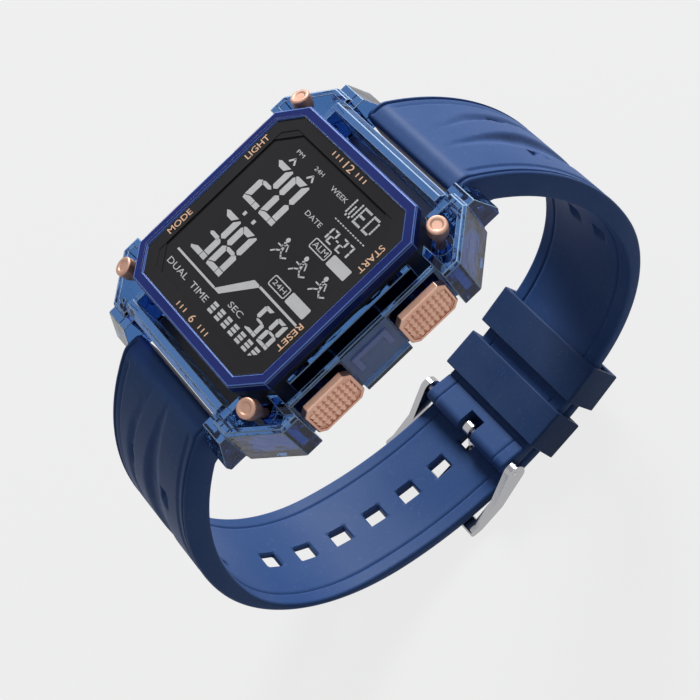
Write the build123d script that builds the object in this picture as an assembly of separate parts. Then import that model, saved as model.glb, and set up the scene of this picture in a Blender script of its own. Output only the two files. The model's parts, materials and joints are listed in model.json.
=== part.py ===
from build123d import *
import os
from math import asin, atan2, cos, degrees, pi, radians, sin, sqrt

# A digital watch, buckled on its strap, in millimetres.
# The origin is the centre of the case back's outer face. +Z points out of the dial,
# +Y to 12 o'clock and +X to 3 o'clock. The closed strap loop hangs below the case.

# Fits
seat_gap = 0.05             # round a piece that is glued or dropped into its seat
running_gap = 0.05          # round a shaft in its hole
free_gap = 0.3              # between pieces that pass each other
overrun = 1.0               # how far a cut runs past what it cuts

# Front glass: an octagon that the ring, the inner case and the module are offset from
glass_half_x = 17.2
glass_half_y = 17.5
glass_corner = 3.47
glass_thickness = 1.3
glass_rise = 1.05           # above the bezel ring
glass_bevel = 0.35

# Inner case, bezel ring and back
back_thickness = 1.6
back_grow = 2.4             # back plate's edge outside the glass octagon
back_bevel = 0.5
barrel_height = 11.0
barrel_grow = 1.45
barrel_wall = 2.45
barrel_corner_extra = 1.5   # how much more the cavity's corners are cut off
ring_height = 1.85
ring_width = 1.8
ring_bevel = 0.25
glass_ledge = 1.1
gasket_inset = 0.2
gasket_width = 0.7
gasket_height = 0.6
screw_head_radius = 1.2
screw_head_height = 0.8
screw_radius = 0.6
screw_length = 5.5
screw_slot_width = 0.35
screw_slot_depth = 0.3

# See-through outer frame
frame_corner = 6.85
block_past_rail = 2.25      # how far the corner blocks stand out beyond the rails
block_past_bar = 1.0        # and beyond the end bars
frame_wall = 1.3
frame_floor = 1.6
frame_block_height = 8.75   # corner blocks, above the back plate
block_from_x = 13.9         # where a corner block starts, beside the end bar
block_gap = 0.45            # between a pusher's knob and the corner block
block_bevel = 0.45
end_channel = 2.65          # between the inner case and the end bar
end_bar_width = 2.1
end_bar_height = 9.9
end_bar_bevel = 0.9
inner_wall_thickness = 1.15
inner_wall_half = 12.3
inner_wall_height = 9.9
side_channel = 1.0          # between the inner wall and the rail
rail_thickness = 1.2
rail_half = 13.8
rail_height = 8.7
rail_bevel = 0.3
sill_width = 1.4
sill_bevel = 0.6
corner_foot = 1.6           # side of the small foot under each corner
corner_foot_drop = 1.2
side_plate_half = 4.5
side_plate_thickness = 0.9
side_plate_height = 9.0
side_plate_bevel = 0.4
bracket_half = 3.4
bracket_width = 1.0
bracket_height = 3.6
bracket_rise = 0.3

# Corner posts, leaning outwards
post_past_glass_x = 1.6
post_past_glass_y = 1.8
post_head_height = 13.4
post_lean = 17.0            # degrees
post_head_radius = 1.65
post_head_length = 2.0
post_neck_length = 2.4
post_radius = 0.8
post_length = 9.0
post_dent_radius = 1.5
post_dent_depth = 0.4
post_bevel = 0.2
boss_radius = 2.0
boss_height = 6.0           # above the back plate

# Lugs and spring bars
lug_outer = 17.3
lug_top_length = 2.35       # flat top, from the end bar outwards
lug_past_bar = 1.9          # from the spring bar's middle to the tip
lug_top = 9.5
lug_tip_height = 4.0
lug_bottom = 2.8
lug_bevel = 0.35
bar_z = 4.8
bar_radius = 0.85
bar_tip_radius = 0.45
bar_tip_length = 1.9

# Module
module_fit = 0.1
module_bottom = 3.0
lcd_margin = 1.9            # from the glass's edge to the LCD's edge
lcd_thickness = 1.8
mask_thickness = 0.12
mask_window_inset = 0.35    # window edge inside the LCD's edge
backlight_thickness = 0.8
strip_thickness = 1.2
strip_half = 10.8
board_margin_x = 3.0        # from the glass's edge to the board's edge
board_margin_y = 2.0
board_corner = 3.2
board_bottom = 6.8
board_thickness = 0.8
chip_radius = 4.0
chip_height = 1.2
crystal_radius = 1.0
crystal_length = 6.0
crystal_x = 8.5
crystal_y = -5.5
lamp_size = 1.6
lamp_x = -9.0
lamp_y = 8.5
battery_radius = 10.0
battery_thickness = 2.5
battery_x = -3.4
battery_y = 3.4
clip_width = 6.0
clip_thickness = 0.3
clip_gap = 0.1
contact_radius = 3.0
contact_thickness = 0.15
buzzer_radius = 11.0
buzzer_thickness = 0.35
buzzer_spring_x = 6.5
buzzer_spring_y = -6.5
buzzer_spring_radius = 0.8
buzzer_spring_turns = 5
spring_wire = 0.15          # radius

# Pushers
button_side_gap = 0.35      # between a knob and the side plate
button_z = 5.75
button_travel = 0.5
cap_rest_gap = 0.15         # between the pressed knob and the rail
cap_depth = 1.45
cap_length = 9.4
cap_height = 7.0
cap_corner = 1.1
cap_edge = 0.25
cap_border = 0.6
cap_field_depth = 0.35
cup_radius = 2.3
cup_depth = 0.7
spring_seat_depth = 0.6     # in the rail, for the return spring
stem_radius = 1.1
stem_gap = 0.3              # between the pressed stem and its contact
seal_radius = 0.15
clip_radius = 2.0
clip_groove_depth = 0.3
clip_slot = 1.3
contact_leaf = 0.2
contact_leaf_width = 2.0
contact_leaf_height = 2.0
button_spring_radius = 1.7
button_spring_turns = 2

# Strap: heights are measured from the back's outer face, so the loop is below zero
strap_half_width = 12.0
strap_end_half_width = 11.6
strap_taper_from = -30.0
strap_taper_to = -60.0
strap_top = 7.1
strap_root_gap = 1.5        # from the end bar to the strap's end face
strap_bar_inset = 1.1       # from the strap's end face to the spring bar's middle
strap_root_low = 1.4
strap_root_round = 0.9
strap_shoulder = 3.0
loop_bottom = -63.4         # inner face at its lowest
loop_radius = 62.0          # inner face of the long half at the bottom
tail_radius = 78.0          # inner face of the long half where it passes the buckle
tail_thickness = 2.2
tail_length = 31.0
tail_round = 8.0
layer_gap = 0.3
long_inner_widest = 43.0
long_inner_widest_height = -32.3
long_flank_thickness = 2.8  # where the loop is widest
long_outer_rise = 4.3       # how much higher the outer face is widest
long_outer_foot = 1.86      # middle of the shoulder, outside the strap's end face
long_inner_foot = 4.2        # inner face's start, outside the strap's end face
long_inner_top = -0.4
short_thickness = 2.4
short_inner_widest = 42.4
short_inner_widest_height = -33.0
short_flank_thickness = 3.3
short_outer_rise = 1.5
short_outer_foot = 1.5
short_inner_foot = 4.0
short_inner_top = -0.9
rim_width = 1.15
groove_width = 0.8
groove_depth = 0.5
hole_pitch = 7.5
hole_width = 3.2
hole_length = 3.4
holes_on_tail = 3
holes_on_loop = 6
prong_hole_y = 1.5

# Buckle and keepers
pin_y = 3.0
pin_radius = 0.7
fold_radius = 1.75
fold_length = 5.0
fold_slot_width = 3.6
fold_slot_length = 4.4
arm_thickness = 1.4
arm_head_radius = 1.9
arm_elbow_radius = 1.05
arm_elbow_forward = 6.0     # from the pin towards 6 o'clock
arm_elbow_drop = 3.7
crossbar_y = -8.3
crossbar_radius = 0.75
crossbar_width = 1.4
prong_width = 1.8
prong_thickness = 0.8
prong_ring = 0.7
prong_leg_slope = 0.42      # sideways per unit down, where it goes through the strap
prong_gap = 0.12
prong_overhang = 1.0
keeper_length = 7.7
keeper_wall = 1.1
keeper_plate = 1.25
keeper_bevel = 0.5
keeper_gap = 0.4            # inside the loop, round both layers
keeper_one_y = 12.9
keeper_two_y = 23.3

# Shares
mid_share = 0.5

# Heights that follow
barrel_top = back_thickness + barrel_height
ring_top = barrel_top + ring_height
glass_top = ring_top + glass_rise
glass_bottom = glass_top - glass_thickness
mask_top = glass_bottom - seat_gap
mask_bottom = mask_top - mask_thickness
lcd_top = mask_bottom - seat_gap
lcd_bottom = lcd_top - lcd_thickness
board_top = board_bottom + board_thickness
cavity_grow = barrel_grow - barrel_wall
frame_floor_top = back_thickness + frame_floor
block_top = back_thickness + frame_block_height

# Places that follow, from the middle outwards
lcd_half_y = glass_half_y - lcd_margin
board_half_x = glass_half_x - board_margin_x
board_half_y = glass_half_y - board_margin_y
stem_end = board_half_x + stem_gap + button_travel
seal_x = glass_half_x + barrel_grow - barrel_wall / 2
inner_wall_outer = glass_half_x + barrel_grow + inner_wall_thickness
rail_inner = inner_wall_outer + side_channel
rail_outer = rail_inner + rail_thickness
side_plate_outer = rail_outer + side_plate_thickness
sill_outer = rail_outer + sill_width
frame_half_x = rail_outer + block_past_rail
cap_inner = rail_outer + button_travel + cap_rest_gap
end_bar_inner = glass_half_y + barrel_grow + end_channel
end_bar_outer = end_bar_inner + end_bar_width
frame_half_y = end_bar_outer + block_past_bar
post_head_x = glass_half_x + post_past_glass_x
post_head_y = glass_half_y + post_past_glass_y
button_y = side_plate_half + button_side_gap + cap_length / 2
block_from_y = button_y + cap_length / 2 + block_gap
strap_root = end_bar_outer + strap_root_gap
bar_y = strap_root + strap_bar_inset
lug_reach = bar_y + lug_past_bar
lug_top_reach = end_bar_outer + lug_top_length
cap_outer = cap_inner + cap_depth
long_outer_widest = long_inner_widest + long_flank_thickness
short_outer_widest = short_inner_widest + short_flank_thickness

corner_growth = 2 - sqrt(2)
quarter_turn = 90


def octagon_face(half_x, half_y, corner):
    """Octagon with its four corners cut off at 45 degrees."""
    near_x = half_x - corner
    near_y = half_y - corner
    right = [(half_x, -near_y), (half_x, near_y), (near_x, half_y)]
    left = [(-near_x, half_y), (-half_x, near_y), (-half_x, -near_y)]
    low = [(-near_x, -half_y), (near_x, -half_y)]
    return make_face(Polyline(*right, *left, *low, close=True).edges())


def octagon(grow, corner_extra=0):
    """The glass octagon grown by the same amount on all eight sides."""
    corner = glass_corner + grow * corner_growth + corner_extra
    return octagon_face(glass_half_x + grow, glass_half_y + grow, corner)


def corner_sum(grow, corner_extra=0):
    """x + y along the cut corner of a grown glass octagon."""
    return glass_half_x + glass_half_y - glass_corner + grow * sqrt(2) - corner_extra


def slab(face, low, high):
    """Solid between two heights."""
    return extrude(Pos(0, 0, low) * face, amount=high - low, dir=(0, 0, 1))


def block(x_range, y_range, z_range):
    """Box given by its low and high sides."""
    ranges = (x_range, y_range, z_range)
    centre = [(low + high) / 2 for low, high in ranges]
    size = [high - low for low, high in ranges]
    return Pos(*centre) * Box(*size)


def rod_z(radius, low, high, x=0, y=0):
    """Upright cylinder."""
    return Pos(x, y, (low + high) / 2) * Cylinder(radius, high - low)


def rod_x(radius, low, high, y=0, z=0):
    """Cylinder along X."""
    return Pos((low + high) / 2, y, z) * Rot(0, quarter_turn, 0) * Cylinder(radius, high - low)


def across(face, low, high):
    """Solid between two X positions from a face drawn in the YZ plane."""
    return extrude(Pos(low, 0, 0) * face, amount=high - low, dir=(1, 0, 0))


def four_corners(shape):
    """A shape in the +X +Y quadrant, and its three mirror images."""
    pair = [shape, mirror(shape, about=Plane.YZ)]
    return pair + [mirror(one, about=Plane.XZ) for one in pair]


def spring(radius, height, turns, place, direction):
    """Coil spring as one round wire along a helix."""
    coil = Helix(pitch=height / turns, height=height, radius=radius, center=place, direction=direction)
    section = Plane(coil @ 0, z_dir=coil % 0) * Circle(spring_wire)
    return sweep(section, coil)


def save(name, shape):
    """Writes one sub-part."""
    solids = shape if isinstance(shape, list) else [shape]
    loose = [solid for one in solids for solid in one.solids()]
    export_step(Compound(loose), "parts/" + name + ".step")


# Glass, bezel ring and inner case

def make_front_glass():
    """Octagonal glass with a bevelled top edge."""
    glass = slab(octagon(0), glass_bottom, glass_top)
    return chamfer(glass.faces().sort_by(Axis.Z)[-1].edges(), glass_bevel)


def make_bezel_ring():
    """Ring with a ledge that carries the glass."""
    ring = slab(octagon(ring_width), barrel_top, ring_top)
    ring = chamfer(ring.faces().sort_by(Axis.Z)[-1].edges(), ring_bevel)
    ring -= slab(octagon(-glass_ledge), barrel_top - overrun, ring_top + overrun)
    return ring - slab(octagon(seat_gap), glass_bottom, ring_top + overrun)


def screw_places():
    """Centres of the back's screws, in the middle of the inner case's corner walls."""
    outer = corner_sum(barrel_grow)
    inner = corner_sum(cavity_grow, barrel_corner_extra)
    middle = (outer + inner) / 4
    shift = (glass_half_y - glass_half_x) / 2
    x, y = middle - shift, middle + shift
    return [(x, y), (-x, y), (-x, -y), (x, -y)]


def make_case_barrel():
    """Inner case: an octagonal tube with the pusher bores and the gasket's groove."""
    barrel = slab(octagon(barrel_grow), back_thickness, barrel_top)
    cavity = octagon(cavity_grow, barrel_corner_extra)
    barrel -= slab(cavity, back_thickness - overrun, barrel_top + overrun)
    groove_outer = octagon(cavity_grow + gasket_inset + gasket_width + seat_gap, barrel_corner_extra)
    groove_inner = octagon(cavity_grow + gasket_inset - seat_gap, barrel_corner_extra)
    groove_top = back_thickness + gasket_height + seat_gap
    barrel -= slab(groove_outer - groove_inner, back_thickness - overrun, groove_top)
    for x, y in screw_places():
        barrel -= rod_z(screw_radius + running_gap, back_thickness - overrun, screw_length + free_gap, x, y)
    for side in (-1, 1):
        for end in (-1, 1):
            reach = glass_half_x + barrel_grow + overrun
            bore = rod_x(stem_radius + running_gap, cavity_grow, reach, end * button_y, button_z)
            barrel -= bore if side > 0 else mirror(bore, about=Plane.YZ)
    return barrel


def make_back_gasket():
    """Rubber ring in the inner case's groove."""
    outer = octagon(cavity_grow + gasket_inset + gasket_width, barrel_corner_extra)
    inner = octagon(cavity_grow + gasket_inset, barrel_corner_extra)
    return slab(outer - inner, back_thickness, back_thickness + gasket_height)


def make_case_back():
    """Flat back plate with four counterbored screw holes."""
    back = slab(octagon(back_grow), 0, back_thickness)
    back = chamfer(back.faces().sort_by(Axis.Z)[0].edges(), back_bevel)
    for x, y in screw_places():
        back -= rod_z(screw_radius + running_gap, -overrun, back_thickness + overrun, x, y)
        back -= rod_z(screw_head_radius + seat_gap, -overrun, screw_head_height, x, y)
    return back


def make_case_back_screws():
    """Four slotted screws, heads flush with the back."""
    screws = []
    for x, y in screw_places():
        screw = rod_z(screw_head_radius, 0, screw_head_height, x, y)
        screw += rod_z(screw_radius, 0, screw_length, x, y)
        slot_half = screw_slot_width / 2
        slot_x = (x - screw_head_radius - overrun, x + screw_head_radius + overrun)
        screw -= block(slot_x, (y - slot_half, y + slot_half), (-overrun, screw_slot_depth))
        screws.append(screw)
    return screws


# Outer frame

def frame_outline(inset=0):
    """Plan of the outer frame, moved in by the same amount all round."""
    corner = frame_corner - inset * corner_growth
    return octagon_face(frame_half_x - inset, frame_half_y - inset, corner)


def post_plane():
    """Plane on the head of the +X +Y corner post, its normal along the leaning post."""
    lean = radians(post_lean)
    axis = (sin(lean) / sqrt(2), sin(lean) / sqrt(2), cos(lean))
    return Plane(origin=(post_head_x, post_head_y, post_head_height), z_dir=axis)


def make_corner_posts():
    """Four posts, each a shaft that widens to a round head with a shallow dent."""
    head = Pos(0, 0, -post_head_length / 2) * Cylinder(post_head_radius, post_head_length)
    head = chamfer(head.faces().sort_by(Axis.Z)[-1].edges(), post_bevel)
    neck_middle = -post_head_length - post_neck_length / 2
    post = head + Pos(0, 0, neck_middle) * Cone(post_radius, post_head_radius, post_neck_length)
    post += rod_z(post_radius, -post_length, -post_head_length)
    post -= Pos(0, 0, post_dent_radius - post_dent_depth) * Sphere(post_dent_radius)
    return four_corners(post_plane().location * post)


def post_boss():
    """Leaning boss that holds a post's foot, and the hole in it."""
    boss = post_plane().location * rod_z(boss_radius, -post_length - overrun, 0)
    room = 2 * frame_half_x
    boss &= block((0, room), (0, room), (back_thickness, back_thickness + boss_height))
    hole = post_plane().location * rod_z(post_radius + seat_gap, -post_length - seat_gap, 0)
    return boss, hole


def make_corner_block():
    """One hollow faceted block with a wall outside and open towards the inner case."""
    room = 2 * frame_half_x
    beyond = block((block_from_x, room), (block_from_y, room), (-room, room))
    shell = slab(frame_outline(), back_thickness, block_top)
    shell = chamfer(shell.faces().sort_by(Axis.Z)[-1].edges(), block_bevel)
    pocket = slab(frame_outline(frame_wall), frame_floor_top, block_top + overrun)
    pocket &= block((block_from_x + frame_wall, room), (block_from_y + frame_wall, room), (-room, room))
    boss, hole = post_boss()
    solid = (shell & beyond) - pocket
    foot_middle = (frame_half_x + frame_half_y - frame_corner - corner_foot * sqrt(2)) / 2
    foot_low = back_thickness - corner_foot_drop
    foot = Box(corner_foot, corner_foot, corner_foot_drop)
    turned = Rot(0, 0, quarter_turn / 2) * foot
    solid += Pos(foot_middle, foot_middle, foot_low + corner_foot_drop / 2) * turned
    return solid + boss - hole


def make_lug():
    """One lug, drawn from the side and bored for the spring bar's tip."""
    top = [(end_bar_outer - overrun, lug_top), (lug_top_reach, lug_top)]
    tip = [(lug_reach, lug_tip_height), (lug_reach - lug_bevel, lug_bottom)]
    low = [(end_bar_outer - overrun, lug_bottom)]
    side = Plane.YZ * make_face(Polyline(*top, *tip, *low, close=True).edges())
    inner = strap_half_width + free_gap
    lug = across(side, inner, lug_outer)
    return lug - rod_x(bar_tip_radius + running_gap, inner - overrun, inner + bar_tip_length, bar_y, bar_z)


def make_end_bar():
    """Bar across the 12 o'clock end, with a sloping outer edge."""
    top = back_thickness + end_bar_height
    bar = block((-block_from_x, block_from_x), (end_bar_inner, end_bar_outer), (back_thickness, top))
    return chamfer(bar.edges().filter_by(Axis.X).sort_by(Axis.Y)[-2:].sort_by(Axis.Z)[-1], end_bar_bevel)


def make_side_rails():
    """Inner wall and outer rail of the 3 o'clock side."""
    wall_x = (glass_half_x, inner_wall_outer)
    wall_z = (back_thickness, back_thickness + inner_wall_height)
    wall = block(wall_x, (-inner_wall_half, inner_wall_half), wall_z)
    rail_z = (back_thickness, back_thickness + rail_height)
    rail = block((rail_inner, rail_outer), (-rail_half - overrun, rail_half + overrun), rail_z)
    rail = chamfer(rail.edges().filter_by(Axis.Y).sort_by(Axis.Z)[-2:], rail_bevel)
    return wall + rail


def make_case_frame():
    """See-through outer frame in one piece: floor, corner blocks, bars, rails and lugs."""
    frame = slab(frame_outline(), back_thickness, frame_floor_top)
    room = 2 * frame_half_x
    frame &= block((-sill_outer, sill_outer), (-end_bar_outer, end_bar_outer), (-room, room))
    frame = chamfer(frame.edges().filter_by(Axis.Y).sort_by(Axis.Z)[-2:], sill_bevel)
    bar = make_end_bar()
    rails = make_side_rails()
    frame = frame + bar + mirror(bar, about=Plane.XZ) + rails + mirror(rails, about=Plane.YZ)
    for corner in four_corners(make_corner_block() + make_lug()):
        frame += corner
    frame -= slab(octagon(barrel_grow + seat_gap), -overrun, glass_top)
    reach = frame_half_x + overrun
    seat = rail_outer - spring_seat_depth
    for y in (-button_y, button_y):
        frame -= rod_x(stem_radius + free_gap, -reach, reach, y, button_z)
        for span in ((-reach, -seat), (seat, reach)):
            frame -= rod_x(cup_radius, *span, y, button_z)
    near_y = button_y - cap_length / 2 - free_gap
    for span_x in ((-reach, -rail_outer), (rail_outer, reach)):
        for span_y in ((-block_from_y, -near_y), (near_y, block_from_y)):
            frame -= block(span_x, span_y, (-overrun, frame_floor_top + overrun))
    return frame


def make_side_plate():
    """Plate between the 3 o'clock pushers, with a raised bracket on its outer face."""
    half = side_plate_half
    top = back_thickness + side_plate_height
    plate = block((rail_outer, side_plate_outer), (-half, half), (frame_floor_top, top))
    plate = chamfer(plate.edges().filter_by(Axis.Y).sort_by(Axis.Z)[-2:], side_plate_bevel)
    high = top - bracket_width
    bracket_x = (side_plate_outer, side_plate_outer + bracket_rise)
    bracket = block(bracket_x, (-bracket_half, bracket_half), (high - bracket_height, high))
    gap = bracket_half - bracket_width
    return plate + bracket - block(bracket_x, (-gap, gap), (frame_floor_top, high - bracket_width))


# Pushers

def make_button():
    """Knob with a bordered field, and its stem with grooves for the seal and the clip."""
    span_y = (button_y - cap_length / 2, button_y + cap_length / 2)
    span_z = (button_z - cap_height / 2, button_z + cap_height / 2)
    cap = block((cap_inner, cap_outer), span_y, span_z)
    cap = chamfer(cap.edges().filter_by(Axis.X), cap_corner)
    cap = chamfer(cap.faces().sort_by(Axis.X)[-1].edges(), cap_edge)
    field_y = (span_y[0] + cap_border, span_y[1] - cap_border)
    field_z = (span_z[0] + cap_border, span_z[1] - cap_border)
    field = block((cap_outer - cap_field_depth, cap_outer + overrun), field_y, field_z)
    cap -= chamfer(field.edges().filter_by(Axis.X), cap_corner - cap_edge)
    cap -= rod_x(cup_radius, cap_inner - overrun, cap_inner + cup_depth, button_y, button_z)
    stem = rod_x(stem_radius, stem_end, cap_outer - cap_field_depth - seat_gap, button_y, button_z)
    for middle, half, depth in stem_grooves():
        sleeve = rod_x(stem_radius + overrun, middle - half, middle + half, button_y, button_z)
        stem -= sleeve - rod_x(stem_radius - depth, middle - half, middle + half, button_y, button_z)
    return cap + stem


def clip_middle():
    """X of the retaining clip, just inside the inner case's wall."""
    return glass_half_x + cavity_grow - running_gap - clip_thickness / 2


def stem_grooves():
    """Middle, half width and depth of the stem's two grooves."""
    seal = (seal_x, seal_radius + seat_gap, 2 * seal_radius + running_gap / 2)
    clip = (clip_middle(), clip_thickness / 2 + seat_gap, clip_groove_depth)
    return seal, clip


def make_button_seal():
    """Rubber ring in the stem's groove."""
    ring = Torus(stem_radius - seal_radius, seal_radius)
    return Pos(seal_x, button_y, button_z) * Rot(0, quarter_turn, 0) * ring


def make_button_clip():
    """Open clip that stops the stem from coming out."""
    middle = clip_middle()
    low, high = middle - clip_thickness / 2, middle + clip_thickness / 2
    clip = rod_x(clip_radius, low, high, button_y, button_z)
    clip -= rod_x(stem_radius - clip_groove_depth + running_gap, low, high, button_y, button_z)
    slot_y = (button_y - clip_slot / 2, button_y + clip_slot / 2)
    return clip - block((low, high), slot_y, (button_z - clip_radius - overrun, button_z))


def make_button_spring():
    """Return spring from its seat in the rail into the hollow cap."""
    seat = rail_outer - spring_seat_depth
    height = cap_inner + cup_depth - seat - button_travel - 4 * spring_wire
    place = (seat + spring_wire + seat_gap, button_y, button_z)
    return spring(button_spring_radius, height, button_spring_turns, place, (1, 0, 0))


def make_button_contact():
    """Leaf under the board's edge that the stem pushes."""
    outer = board_half_x
    leaf_y = (button_y - contact_leaf_width / 2, button_y + contact_leaf_width / 2)
    return block((outer - contact_leaf, outer), leaf_y, (board_bottom - contact_leaf_height, board_bottom))


def place_button(shape, side, end):
    """Moves a shape of the 3 o'clock upper pusher to another pusher."""
    moved = shape if side > 0 else mirror(shape, about=Plane.YZ)
    return moved if end > 0 else mirror(moved, about=Plane.XZ)


# Module

def make_front_mask():
    """Printed sheet under the glass with the LCD's window."""
    sheet = slab(octagon(-glass_ledge - module_fit), mask_bottom, mask_top)
    window = octagon(-lcd_margin - mask_window_inset, barrel_corner_extra)
    return sheet - slab(window, mask_bottom - overrun, mask_top + overrun)


def lcd_outline(grow=0):
    """Plan of the display, grown by the same amount all round."""
    return octagon(grow - lcd_margin, barrel_corner_extra)


def make_lcd_panel():
    """Glass sandwich of the display."""
    return slab(lcd_outline(), lcd_bottom, lcd_top)


def make_backlight():
    """Light plate under the display, between the connector strips."""
    half_y = lcd_half_y - strip_thickness - free_gap
    top = lcd_bottom - seat_gap
    between = block((-glass_half_x, glass_half_x), (-half_y, half_y), (board_top, lcd_bottom))
    return slab(lcd_outline(), top - backlight_thickness, top) & between


def make_connector_strips():
    """Two rubber strips from the board up to the display's ends."""
    far = lcd_half_y
    strip = block((-strip_half, strip_half), (far - strip_thickness, far), (board_top, lcd_bottom))
    return [strip, mirror(strip, about=Plane.XZ)]


def make_module_frame():
    """Plastic frame that fills the inner case and holds board, strips and display."""
    grow = -glass_ledge - module_fit
    frame = slab(octagon(grow, barrel_corner_extra), module_bottom, lcd_top)
    frame -= slab(lcd_outline(module_fit), board_top, lcd_top + overrun)
    pocket = octagon_face(board_half_x + module_fit, board_half_y + module_fit, board_corner)
    frame -= slab(pocket, module_bottom - overrun, board_top + seat_gap)
    half = clip_radius + free_gap
    for y in (-button_y, button_y):
        for side in (-1, 1):
            notch_x = (board_half_x - contact_leaf - free_gap, glass_half_x)
            low = button_z - half
            notch = block(notch_x, (y - half, y + half), (low, button_z + half))
            frame -= notch if side > 0 else mirror(notch, about=Plane.YZ)
    return frame


def make_circuit_board():
    """Board with its corners cut off."""
    return slab(octagon_face(board_half_x, board_half_y, board_corner), board_bottom, board_top)


def make_display_chip():
    """Round cover over the chip, with a bevelled top."""
    chip = rod_z(chip_radius, board_top, board_top + chip_height)
    return chamfer(chip.faces().sort_by(Axis.Z)[-1].edges(), chip_height / 2)


def make_quartz_crystal():
    """Small can lying on the board."""
    half = crystal_length / 2
    return rod_x(crystal_radius, crystal_x - half, crystal_x + half, crystal_y, board_top + crystal_radius)


def make_lamp():
    """Lamp on the board, at the light button's side."""
    half = lamp_size / 2
    span = (lamp_x - half, lamp_x + half), (lamp_y - half, lamp_y + half)
    return block(*span, (board_top, board_top + lamp_size))


def make_battery():
    """Button cell under the board."""
    top = board_bottom - contact_thickness - 2 * seat_gap
    cell = rod_z(battery_radius, top - battery_thickness, top, battery_x, battery_y)
    return chamfer(cell.faces().sort_by(Axis.Z)[0].edges(), clip_thickness)


def make_battery_contact():
    """Thin contact between the cell and the board."""
    top = board_bottom - seat_gap
    return rod_z(contact_radius, top - contact_thickness, top, battery_x, battery_y)


def make_battery_clip():
    """Metal strap under the cell, with a leg up to the board at each end."""
    cell_bottom = board_bottom - contact_thickness - 2 * seat_gap - battery_thickness
    low = cell_bottom - seat_gap - clip_thickness
    reach = battery_radius + clip_gap
    span_y = (battery_y - clip_width / 2, battery_y + clip_width / 2)
    outer_x = (battery_x - reach - clip_thickness, battery_x + reach + clip_thickness)
    clip = block(outer_x, span_y, (low, board_bottom))
    inner_x = (battery_x - reach, battery_x + reach)
    return clip - block(inner_x, span_y, (low + clip_thickness, board_bottom + overrun))


def make_buzzer_disc():
    """Sounder disc on the inside of the back."""
    low = back_thickness + seat_gap
    return rod_z(buzzer_radius, low, low + buzzer_thickness)


def make_buzzer_spring():
    """Contact spring between the sounder disc and the board."""
    low = back_thickness + 2 * seat_gap + buzzer_thickness + spring_wire
    height = board_bottom - spring_wire - seat_gap - low
    place = (buzzer_spring_x, buzzer_spring_y, low)
    return spring(buzzer_spring_radius, height, buzzer_spring_turns, place, (0, 0, 1))


# Strap: a face of a half is three arcs in the plane of the loop, where the first
# number runs outwards from the middle of the case and the second is the height

def arc(centre, radius, start, end):
    """Arc about a centre between two angles in radians."""
    points = []
    for angle in (start, (start + end) / 2, end):
        points.append((centre[0] + radius * cos(angle), centre[1] + radius * sin(angle)))
    return ThreePointArc(*points)


def at_angle(centre, radius, angle):
    """Point on a circle."""
    return centre[0] + radius * cos(angle), centre[1] + radius * sin(angle)


def upright_radius(widest, widest_height, foot, top):
    """Radius of the arc that stands upright at the widest place and starts beside the root."""
    side = widest - strap_root - foot
    rise = top - widest_height
    return (side**2 + rise**2) / (2 * side)


def under_shoulder_radius(widest, widest_height, foot):
    """Radius of the arc that stands upright at the widest place and meets the shoulder."""
    side = widest - strap_root - foot
    rise = strap_top - strap_shoulder - widest_height
    return (side**2 + rise**2 - strap_shoulder**2) / (2 * (side - strap_shoulder))


class StrapFace:
    """One face of a strap half: an upper arc, a flank arc and the arc of the loop's bottom."""

    def __init__(self, widest, height, upper_radius, bottom_centre, bottom_radius):
        reach = height - bottom_centre
        flank = (bottom_radius**2 - widest**2 - reach**2) / (2 * (bottom_radius - widest))
        self.upper = ((widest - upper_radius, height), upper_radius)
        self.flank = ((widest - flank, height), flank)
        self.bottom = ((0, bottom_centre), bottom_radius)
        self.turn = atan2(reach, widest - flank)

    def start_angle(self, height):
        """Angle on the upper arc at a given height."""
        centre, radius = self.upper
        return asin((height - centre[1]) / radius)

    def arcs(self, start, end, inset=0):
        """The three arcs from an angle on the upper arc to an angle on the bottom arc."""
        pieces = [(self.upper, start, 0), (self.flank, 0, self.turn), (self.bottom, self.turn, end)]
        return [arc(centre, radius - inset, low, high) for (centre, radius), low, high in pieces]

    def along(self, distance):
        """Place and outward angle at a distance from the loop's lowest point."""
        lowest = -pi / 2
        bottom_length = self.bottom[1] * (self.turn - lowest)
        flank_length = self.flank[1] * -self.turn
        if distance < bottom_length:
            circle, angle = self.bottom, lowest + distance / self.bottom[1]
        elif distance < bottom_length + flank_length:
            circle, angle = self.flank, self.turn + (distance - bottom_length) / self.flank[1]
        else:
            circle = self.upper
            angle = (distance - bottom_length - flank_length) / self.upper[1]
        return at_angle(*circle, angle), angle


loop_centre = loop_bottom + loop_radius
tail_centre = loop_bottom + tail_radius
tail_outer_radius = tail_radius + tail_thickness
short_outer_bottom = tail_radius - layer_gap
short_inner_bottom = short_outer_bottom - short_thickness
long_inner_radius = upright_radius(long_inner_widest, long_inner_widest_height,
                                   long_inner_foot, long_inner_top)
short_inner_radius = upright_radius(short_inner_widest, short_inner_widest_height,
                                    short_inner_foot, short_inner_top)
long_inner = StrapFace(long_inner_widest, long_inner_widest_height, long_inner_radius,
                       loop_centre, loop_radius)
long_outer_widest_height = long_inner_widest_height + long_outer_rise
long_outer_radius = under_shoulder_radius(long_outer_widest, long_outer_widest_height, long_outer_foot)
long_outer = StrapFace(long_outer_widest, long_outer_widest_height, long_outer_radius,
                       loop_centre, loop_radius + tail_thickness)
short_inner = StrapFace(short_inner_widest, short_inner_widest_height, short_inner_radius,
                        tail_centre, short_inner_bottom)
short_outer_widest_height = short_inner_widest_height + short_outer_rise
short_outer_radius = under_shoulder_radius(short_outer_widest, short_outer_widest_height,
                                           short_outer_foot)
short_outer = StrapFace(short_outer_widest, short_outer_widest_height, short_outer_radius,
                        tail_centre, short_outer_bottom)

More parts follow.
